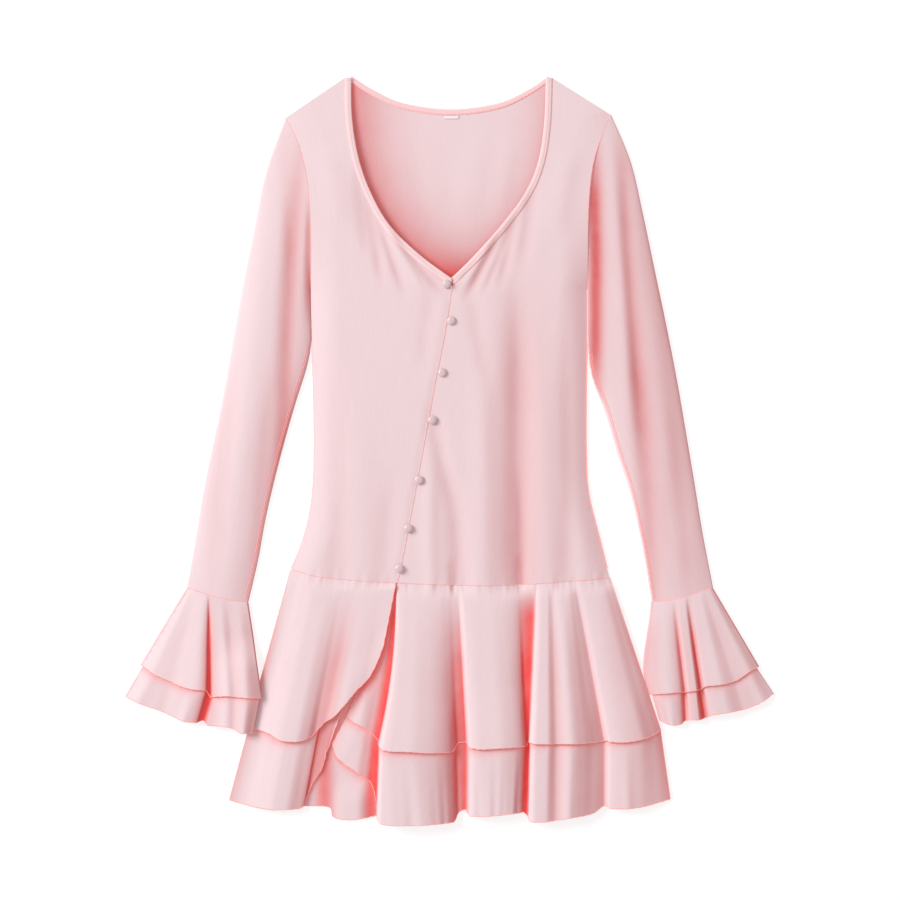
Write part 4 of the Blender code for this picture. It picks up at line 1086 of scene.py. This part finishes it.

# %% [markdown]
# ## Skirt flounces
#
# The skirt's flounces work in the same way. The left front carries the deep folds, and past
# its folded edge an underlap runs on under the right front, low and flat. The right front's
# hem sweeps up into a curved wrap edge, which leaves the slit that shows the underlap, the
# back flounce and a band of folded cloth in shade, painted coral.

# %% Lines of the left front
# seam_x, upper_x, upper_y, lower_x, lower_y, seam height, hem height, coral (painted shade)
SKIRT_LEFT_LINES = [
    (-84, -114, -297, -131, -329, 4, 4.2, 0.1), (-81.5, -109, -304, -128, -341, 4, 5, 0),
    (-78, -101, -308, -117, -352, 4, 6, 0), (-73.5, -95, -312, -105, -360, 4, 5.5, 0.1),
    (-68, -89, -316, -96, -367, 4, 4.6, 0.3), (-63, -83, -321, -88, -372, 4.1, 4.2, 0.9),
    (-60, -79.5, -326, -83, -390, 4.6, 4.6, 1), (-58.6, -77.8, -331, -80.8, -413, 6.6, 16, 0.1),
    (-56, -75, -334, -77, -417, 7.3, 20, 0), (-49, -65, -336, -62, -419, 7.5, 21.5, 0),
    (-38, -46, -336.5, -41, -419, 7.5, 21.5, 0), (-25, -24, -338, -18, -418, 7.5, 19, 0),
    (-13, -7, -338, -4, -417, 7.5, 14.5, 0.1), (-4, 3, -337, 5, -416, 7.3, 9.5, 0.25),
    (3, 9, -328, 11, -405, 7, 5.6, 0.55), (9, 18.5, -327, 18, -402.5, 6.8, 4.4, 0.82),
    (12, 20.5, -329, 20, -407, 7, 9, 0.3), (16, 23, -332, 23, -409, 7.5, 14.5, 0),
    (27, 35, -334, 36, -409, 7.5, 17.5, 0), (43, 55, -333, 54, -408, 7.5, 17.5, 0),
    (56, 72, -332, 69, -406.5, 7.3, 15, 0), (66, 81, -331.5, 77, -406, 6.9, 11.5, 0.12),
    (73, 84.5, -331, 81, -405.5, 6.4, 8.5, 0.35), (81, 86, -330, 82.5, -405, 5.9, 4.8, 0.9),
    (93, 88.3, -327, 86, -408, 5.4, 4.6, 1), (98, 89.3, -326.5, 87.5, -411, 6, 8, 0.6),
    (100, 90.6, -327, 88.6, -414, 7.2, 15, 0), (104.5, 97, -328, 95, -415.5, 7.5, 18.5, 0),
    (109, 109, -328, 107, -415, 7.5, 18.5, 0.05), (115, 120, -328, 119, -413.5, 6.9, 15.5, 0.22),
    (123, 135, -328, 134, -411, 7.5, 18.5, 0), (131, 149, -327.5, 148, -409, 7.5, 15, 0.1),
    (136, 161, -327, 160, -406.5, 7, 10, 0.08), (140, 173, -325.5, 173, -398, 6.3, 6.4, 0.3),
    (143, 176, -325, 176, -399, 6.4, 9, 0.12), (148, 180, -326, 180, -400.5, 6.8, 12, 0),
    (158, 194, -326.5, 196, -401, 6.5, 13.5, 0.05), (169, 212, -324, 215, -399, 5.8, 12, 0.1),
    (175, 226, -320, 232, -395, 4.6, 7.5, 0.1), (179, 236, -314, 247, -391, 3.75, 3.75, 0.4),
]
# how far the underlap's lines and the folded edge bow to the left front's side
UNDERLAP_SWELL = (10, 7, 4, 2, 3, 5, 6, 6, 5, 3, 1)
SKIRT_ROWS, SKIRT_MORE_ROWS, PER_FOLD = 50, 22, 8
FOLDED_EDGE = 7 * PER_FOLD          # the column that runs down the left front's folded edge
SEAM_BLEND = 0.09                   # part of the length over which a flounce leaves the seam
SKIRT_FLARE, RIGHT_FLARE = 2.2, 1.2 # how much the upper hems stand off the flounces under them
GATHER_RISE, GATHER_REACH, GATHER_WIDTH = 0.14, 0.06, 13.0      # small puckers below the waist seam
# reach, painted coral and painted glow of the shade under a hem, and beside the right front's wrap edge
HEM_SHADE, EDGE_SHADE = (6.0, 0.4, 0.6), (10.0, 0.8, 1.0)


# %% [markdown]
# A line in a fold is low and painted coral as shade, and a line on a crest is high and pale.
# At the waist seam all lines meet the bodice at its own height, and the painted shade fades
# out towards the seam.

# %% Lay the left front of the skirt
def meet_bodice(z, x_at_seam, layer_step, t):
    """Lower a flounce to the bodice's level at the waist seam."""
    level = np.minimum(z[:1], front_ground(x_at_seam, waist_y(x_at_seam))[None, :] + layer_step)
    return mix(level, z, ease(t / SEAM_BLEND))


def painted_fold_shade(coral, seam_z, t):
    """Painted shade: a fold that is already low at the seam is painted coral from there; others further down.
    """
    at_seam = ease((7.2 - seam_z) / 2.2) * (seam_z > 4.05)
    return coral * mix(at_seam, 1.0, ease(t / 0.6)) * ease((t + 0.02) / 0.24)


def left_skirt_places(lower):
    """Middle surface of a left front flounce, the coral shade painted into its folds, and how far down each
    row is.
    """
    last = len(SKIRT_LEFT_LINES) - 1
    k = np.linspace(0, last, last * PER_FOLD + 1)
    table = through(SKIRT_LEFT_LINES, PER_FOLD).T
    seam_x, up_x, up_y, low_x, low_y, seam_z, hem_z, coral = table
    swell = np.interp(k, range(len(UNDERLAP_SWELL) + 1), [*UNDERLAP_SWELL, 0])
    t = np.linspace(0, 1, SKIRT_ROWS)[:, None]
    x = mix(seam_x, up_x, t) + swell * 4 * t * (1 - t)
    y = mix(waist_y(seam_x) - 0.3, up_y, t)
    z = mix(seam_z, hem_z, t ** 0.85)
    z = meet_bodice(z, seam_x, -2 * LAYER, t)
    z = z + fading(GATHER_RISE, t, GATHER_REACH, 2) * uneven(seam_x, GATHER_WIDTH, 4.0) * (seam_z > 5)
    tint = painted_fold_shade(coral, seam_z, t)
    if lower:
        e = np.linspace(0, 1, SKIRT_MORE_ROWS)[1:, None]
        x, y = np.concatenate([x, mix(up_x, low_x, e)]), np.concatenate([y, mix(up_y, low_y, e)])
        z = np.concatenate([z, 0 * e + hem_z + 0.7 * e * uneven(seam_x, 21.0, 6.0)])
        tint = np.concatenate([tint, 0 * e + coral])
    return np.stack([x, y, z], axis=2), tint, t


def hem_path(places, free_side):
    """The free edge of a flounce: down or up its free side and along the hem."""
    side = places[:, 0 if free_side == "left" else -1]
    if free_side == "left":
        return np.concatenate([side, places[-1, 1:]])
    if free_side == "right":
        return np.concatenate([places[-1], side[::-1][1:]])
    return places[-1]


def lay_flounce(name, node, places, tint, free_side, seed, wall=WALL):
    """A flounce with its rolled coral hem."""
    # The tint is painted coral shade, and its square is painted glow.
    flounce = lay_cloth(name, places, PALE_JERSEY, tint, wall, painted_glow=tint ** 2)
    put_on(flounce, node)
    hem = sew_thread("rolled_hem_" + node, [hem_path(places, free_side)], HEM_CORD, CORAL_THREAD,
                     wave=0.4, seed=seed)
    return flounce


middle, coral, t = left_skirt_places(False)
upper = stand_off(middle, LAYER)
upper[..., 2] += SKIRT_FLARE * ease((t - 0.6) / 0.4) * np.clip((middle[-1, :, 2] - 5) / 6, 0, 1)
left_upper = lay_flounce("cloth_skirt_left_upper", "skirt_front_left_upper", upper, coral, "left",
                         3.0)
LEFT_UPPER = upper
middle, coral, _ = left_skirt_places(True)
LEFT_LOWER = stand_off(middle, -LAYER)
left_lower = lay_flounce("cloth_skirt_left_lower", "skirt_front_left_lower", LEFT_LOWER, coral, "left",
                         7.0)
# Painted coral shadow and glow under the upper flounce's hem.
shade_beside(left_lower, hem_path(LEFT_UPPER, "left"), *HEM_SHADE)

# %% [markdown]
# The right front ends in the curved wrap edge, so its last lines are short. It lies on the left
# front, and its two flounces lie a little further apart.

# %% Lay the right front of the skirt
# seam_x, hem_x, hem_y, seam height, hem height, coral (painted shade)
SKIRT_RIGHT_UPPER_LINES = [
    (-177, -226, -311, 4.3, 4.3, 0.5), (-168, -214, -313, 5.6, 5.3, 0), (-158, -200, -318, 7.5, 9.5, 0),
    (-147, -187, -325, 8.8, 13, 0), (-136, -173, -326, 8.8, 13.5, 0), (-126, -160, -323, 8.8, 11, 0.1),
    (-117, -150, -316, 8.8, 8.2, 0.34), (-108, -140, -305, 8.8, 7.9, 0.44),
    (-99, -130, -299, 8.8, 9.6, 0.2), (-91, -118, -286, 8.8, 10.4, 0), (-82, -104, -269, 8.8, 9.6, 0),
    (-74, -91, -256, 8.8, 8.8, 0.05), (-67, -82, -240, 8.8, 8.8, 0), (-60, -74, -220, 8.8, 8.8, 0),
]
SKIRT_RIGHT_LOWER_LINES = [
    (-177, -246, -392, 4.3, 4.3, 0.3), (-168, -231, -396, 5.6, 5.6, 0), (-158, -214, -400, 7.5, 10, 0),
    (-147, -197, -402, 8.8, 13.5, 0), (-136, -183, -402, 8.8, 13, 0), (-126, -171, -401.5, 8.8, 10, 0.08),
    (-117, -163, -399, 8.8, 8, 0.35), (-110, -160, -390, 8.8, 6, 0.5), (-104, -155, -377, 8.8, 5.6, 0.56),
    (-98, -149, -366, 8.8, 5.6, 0.54), (-92, -145, -361, 8.8, 5.6, 0.52),
    (-88, -141, -352, 8.8, 5.6, 0.48), (-84, -135.5, -333, 8.8, 5.8, 0.42),
    (-81, -129.5, -314, 8.8, 6.4, 0.3), (-78, -123, -297, 8.8, 8, 0.2), (-75, -114, -279, 8.8, 8.8, 0),
    (-72, -104, -257, 8.8, 8.8, 0), (-69, -92, -230, 8.8, 8.8, 0), (-65, -80, -195, 8.8, 8.8, 0),
]
WIDE_LAYER = 1.0                    # the right front's two flounces lie further apart


def right_skirt_places(lines, layer_step):
    """Middle surface of a right front flounce, the coral shade painted into its folds, and how far down each
    row is.
    """
    seam_x, hem_x, hem_y, seam_z, hem_z, coral = through(lines, PER_FOLD).T
    t = np.linspace(0, 1, SKIRT_ROWS + 8)[:, None]
    x, y = mix(seam_x, hem_x, t), mix(waist_y(seam_x) - 0.3, hem_y, t)
    z = meet_bodice(mix(seam_z, hem_z, t), seam_x, layer_step, t)
    z = z + fading(GATHER_RISE, t, GATHER_REACH, 2) * uneven(seam_x, GATHER_WIDTH, 9.0) * (seam_z > 6)
    return np.stack([x, y, z], axis=2), coral * ease(t / 0.7), t


middle, coral, _ = right_skirt_places(SKIRT_RIGHT_LOWER_LINES, LAYER - WIDE_LAYER)
RIGHT_LOWER = stand_off(middle, -WIDE_LAYER)
right_lower = lay_flounce("cloth_skirt_right_lower", "skirt_front_right_lower", RIGHT_LOWER, coral,
                          "right", 11.0)
middle, coral, t = right_skirt_places(SKIRT_RIGHT_UPPER_LINES, LAYER - WIDE_LAYER)
upper = stand_off(middle, WIDE_LAYER)
upper[..., 2] += RIGHT_FLARE * ease((t - 0.55) / 0.45) * np.clip((middle[-1, :, 2] - 5) / 6, 0, 1)
lay_flounce("cloth_skirt_right_upper", "skirt_front_right_upper", upper, coral, "right",
            15.0)
RIGHT_UPPER = upper
# Painted coral shadow and glow under the right front's hems and beside its wrap edge.
shade_beside(right_lower, hem_path(RIGHT_UPPER, "right"), *HEM_SHADE)
for flounce in (left_upper, left_lower):
    shade_beside(flounce, hem_path(RIGHT_UPPER, "right"), *EDGE_SHADE, LEFT_UPPER[:, FOLDED_EDGE])
    shade_beside(flounce, hem_path(RIGHT_LOWER, "right"), *HEM_SHADE)

# %% [markdown]
# The back's two flounces lie flat on the table. The lower one shows through the slit, where it
# rises in one soft wave and is painted coral as shade beside both fronts.

# %% Lay the back of the skirt
# seam_x, hem_x, hem_y
BACK_UPPER_LINES = [
    (-176, -224, -309), (-158, -200, -314), (-140, -178, -318), (-100, -125, -322), (-55, -68, -324),
    (0, 0, -324), (55, 68, -322), (100, 128, -320), (142, 180, -316), (178, 234, -312),
]
BACK_LOWER_LINES = [
    (-176, -244, -390), (-150, -205, -397), (-125, -166, -398.5), (-107, -135, -400), (-101, -130, -411),
    (-90, -112, -414), (-78, -94, -412), (-66, -80, -409), (-50, -58, -404), (-20, -20, -402),
    (15, 15, -398), (60, 62, -400), (100, 110, -402), (140, 163, -396), (165, 215, -391),
    (178, 245, -389),
]
SLIT_MIDDLE, SLIT_HALF, SLIT_FROM, SLIT_RISE = -111, 17, -385, 3.0
PAINTED_SHADE_FROM = -300                   # the lower back flounce is painted coral as shade below this y
BACK_PAINTED_SHADE = [(-140, 11.0, 0.75), (-87, 8.0, 0.85)]     # x, reach, amount of painted coral shade


def back_skirt_places(lines, layer):
    """A back flounce, low and flat, with two places of painted coral shade that the slit shows."""
    last = len(lines) - 1
    k = np.linspace(0, last, last * 12 + 1)
    seam_x, hem_x, hem_y = between(lines, k).T
    t = np.linspace(0, 1, 54)[:, None] ** 0.8
    x, y = mix(seam_x, hem_x, t), mix(waist_y(seam_x) - 0.3, hem_y, t)
    wave = np.exp(-((x - SLIT_MIDDLE) / SLIT_HALF) ** 4) * ease((SLIT_FROM + 18 - y) / 30)
    z = layer * PLY + FLOOR_LEVEL + 0.05 + layer * SLIT_RISE * wave
    coral = sum(fading(amount, x - place, reach, 2) for place, reach, amount in BACK_PAINTED_SHADE)
    tint = layer * coral * ease((PAINTED_SHADE_FROM - y) / 40)
    return np.stack([x, y, z], axis=2), tint.clip(0, 1)


for tier, lines, layer, seed in (("upper", BACK_UPPER_LINES, 0, 19.0), ("lower", BACK_LOWER_LINES, 1, 23.0)):
    places, coral = back_skirt_places(lines, layer)
    under = "floor" if layer == 0 else "skirt_back_upper"
    flounce = lay_flounce("cloth_skirt_back_" + tier, "skirt_back_" + tier, places, coral, "none",
                          seed)
# Painted coral shadow and glow under both fronts' lower hems.
for over in (hem_path(RIGHT_LOWER, "right"), hem_path(LEFT_LOWER, "left")):
    shade_beside(flounce, over, *HEM_SHADE)

# %% [markdown]
# ## Seam threads
#
# The seams show as thin deeper lines: round the armholes, along the waist, down the wrap edge,
# under the arms and round the cuffs. Each thread follows a line that the cloth already has.

# %% Sew the seams
side_y = np.linspace(-133, UNDERARM - 2, 120)


def beside(side, outward):
    """A line down a side seam, between the front and the back."""
    return np.stack([side_x(side, side_y) + outward * 0.3, side_y, 0 * side_y + 2.5], axis=1)


sew_thread("seam_sides", [beside(SIDE_RIGHT, -1), beside(SIDE_LEFT, 1)], 0.5, CORAL_THREAD,
           wave=0.1, seed=17.0)
sew_thread("seam_skirt_sides", [RIGHT_UPPER[:, 0] - (0.3, 0, 0), LEFT_UPPER[:, -1] + (0.3, 0, 0),
                                RIGHT_LOWER[:, 0] - (0.3, 0, 0), LEFT_LOWER[:, -1] + (0.3, 0, 0)],
           0.42, CORAL_THREAD, wave=0.1, seed=19.0)
THREAD = 0.32                       # radius of a seam's ridge of thread
UNDERARM_ROW = 40                   # the row of a sleeve where it comes out from beside the body
waist_right = np.linspace(-176, -60, 60)
waist_left = np.linspace(-58, 178, 110)
sew_thread("seam_waist", [along_front(waist_right, waist_y(waist_right), 1.1),
                          along_front(waist_left, waist_y(waist_left), -0.1)], THREAD, SEAM_THREAD,
           wave=0.12)
armhole_y = np.linspace(UNDERARM, ARMHOLE_TOP - 1, 90)
right_arm, left_arm = side_x(SIDE_RIGHT, armhole_y) - 0.3, side_x(SIDE_LEFT, armhole_y) + 0.3
sew_thread("seam_armholes", [along_front(right_arm, armhole_y, 1.0),
                             along_front(left_arm, armhole_y, 0.9)], THREAD, SEAM_THREAD,
           wave=0.1, seed=3.0)
wrap_edge = FRONTS["right"][:ROWS_BELOW, -1]
sew_thread("rolled_edge_wrap", [wrap_edge + (0.1, 0.0, 0.02), wrap_edge + (0.75, 0.0, -0.3)], 0.42,
           EDGE_THREAD, wave=0.08, seed=5.0)
for label, column, gap in (("right", -4, 2), ("left", 3, -2)):
    top = SLEEVES[label]
    lines = [stand_off(top, 0.45)[UNDERARM_ROW:-2, c] for c in (column, column - gap)]
    sew_thread("seam_underarm_" + label, lines, 0.3, CORAL_THREAD, wave=0.15, step=2.4, seed=7.0)
    sew_thread("seam_cuff_" + label, [top[-1] + (0.0, -0.3, 0.35)], 0.5, CORAL_THREAD,
               wave=0.2, seed=9.0)
sew_thread("seam_neck_band", [NECK_LINES["right"] + (0, 0, 1.15), NECK_LINES["left"] + (0, 0, -0.1)],
           0.3, CORAL_THREAD, wave=0.1, seed=11.0)
sew_thread("stitch_neck_band", list(BAND_LINES.values()), 0.22, SEAM_THREAD, wave=0.06, seed=13.0)

DASH, DASH_GAP = 2.6, 2.0
stitch_line, gone = respace(np.stack([neck[:, 0], neck[:, 1] + 1.5, 0 * neck[:, 0] + 1.5], axis=1), 0.4)
dashes = [stitch_line[(gone >= start) & (gone <= start + DASH)]
          for start in np.arange(3.0, gone[-1] - 3.0, DASH + DASH_GAP)]
sew_thread("stitches_back_neck", dashes, 0.3, CORAL_THREAD, step=1.0)
print("seams sewn:", len(dashes), "stitches in the back neck")

# %% [markdown]
# ## Buttons
#
# Seven small domed buttons, covered in satin, close the wrap. One is modelled: a disc whose top
# edge is rounded, whose face is inset and raised into a dome, smoothed by a subdivision surface.
# The others are copies, each with its own mesh, set on the places that the solid model gives.

# %% Model one button and set all seven
BUTTON_RADIUS, BUTTON_HEIGHT = 4.9, 3.1
bpy.ops.object.select_all(action="DESELECT")
bpy.ops.mesh.primitive_cylinder_add(vertices=24, radius=BUTTON_RADIUS * MM, depth=0.42 * BUTTON_HEIGHT * MM)
master = bpy.context.object
bpy.ops.object.mode_set(mode="EDIT")
bpy.ops.mesh.select_mode(type="FACE")
bpy.ops.mesh.select_all(action="DESELECT")
bpy.ops.object.mode_set(mode="OBJECT")
for face in master.data.polygons:
    face.select = face.normal.z > 0.9
bpy.ops.object.mode_set(mode="EDIT")
for narrower, higher in ((0.10, 0.26), (0.26, 0.16), (0.22, 0.08), (0.20, 0.03)):
    bpy.ops.mesh.inset(thickness=narrower * BUTTON_RADIUS * MM)
    bpy.ops.transform.translate(value=(0.0, 0.0, higher * BUTTON_HEIGHT * MM))
bpy.ops.object.mode_set(mode="OBJECT")
for face in master.data.polygons:
    face.select = face.normal.z < -0.9
bpy.ops.object.mode_set(mode="EDIT")
bpy.ops.mesh.inset(thickness=0.14 * BUTTON_RADIUS * MM)
bpy.ops.object.mode_set(mode="OBJECT")
smooth = master.modifiers.new("smooth", "SUBSURF")
smooth.levels = smooth.render_levels = 2
bpy.ops.object.modifier_apply(modifier=smooth.name)
bpy.ops.object.shade_smooth()
lowest = min(v.co.z for v in master.data.vertices)
for vertex in master.data.vertices:
    vertex.co.z -= lowest
master.data.materials.append(SATIN)

for number in range(1, 8):
    button_x, button_y, button_z = box_middle("button_%d" % number)
    button = bpy.data.objects.new("domed_button_%d" % number, master.data.copy())
    bpy.context.scene.collection.objects.link(button)
    for vertex in button.data.vertices:
        vertex.co.x += button_x
        vertex.co.y += button_y
        vertex.co.z += button_z
    put_on(button, "button_%d" % number)
bpy.data.objects.remove(master)
print("seven buttons set")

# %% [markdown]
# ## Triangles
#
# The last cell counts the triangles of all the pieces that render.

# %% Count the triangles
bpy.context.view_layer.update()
pieces = [o for o in bpy.context.scene.objects if o.type == "MESH" and not o.hide_render]
print("triangles:", sum(len(p.vertices) - 2 for o in pieces for p in o.data.polygons))
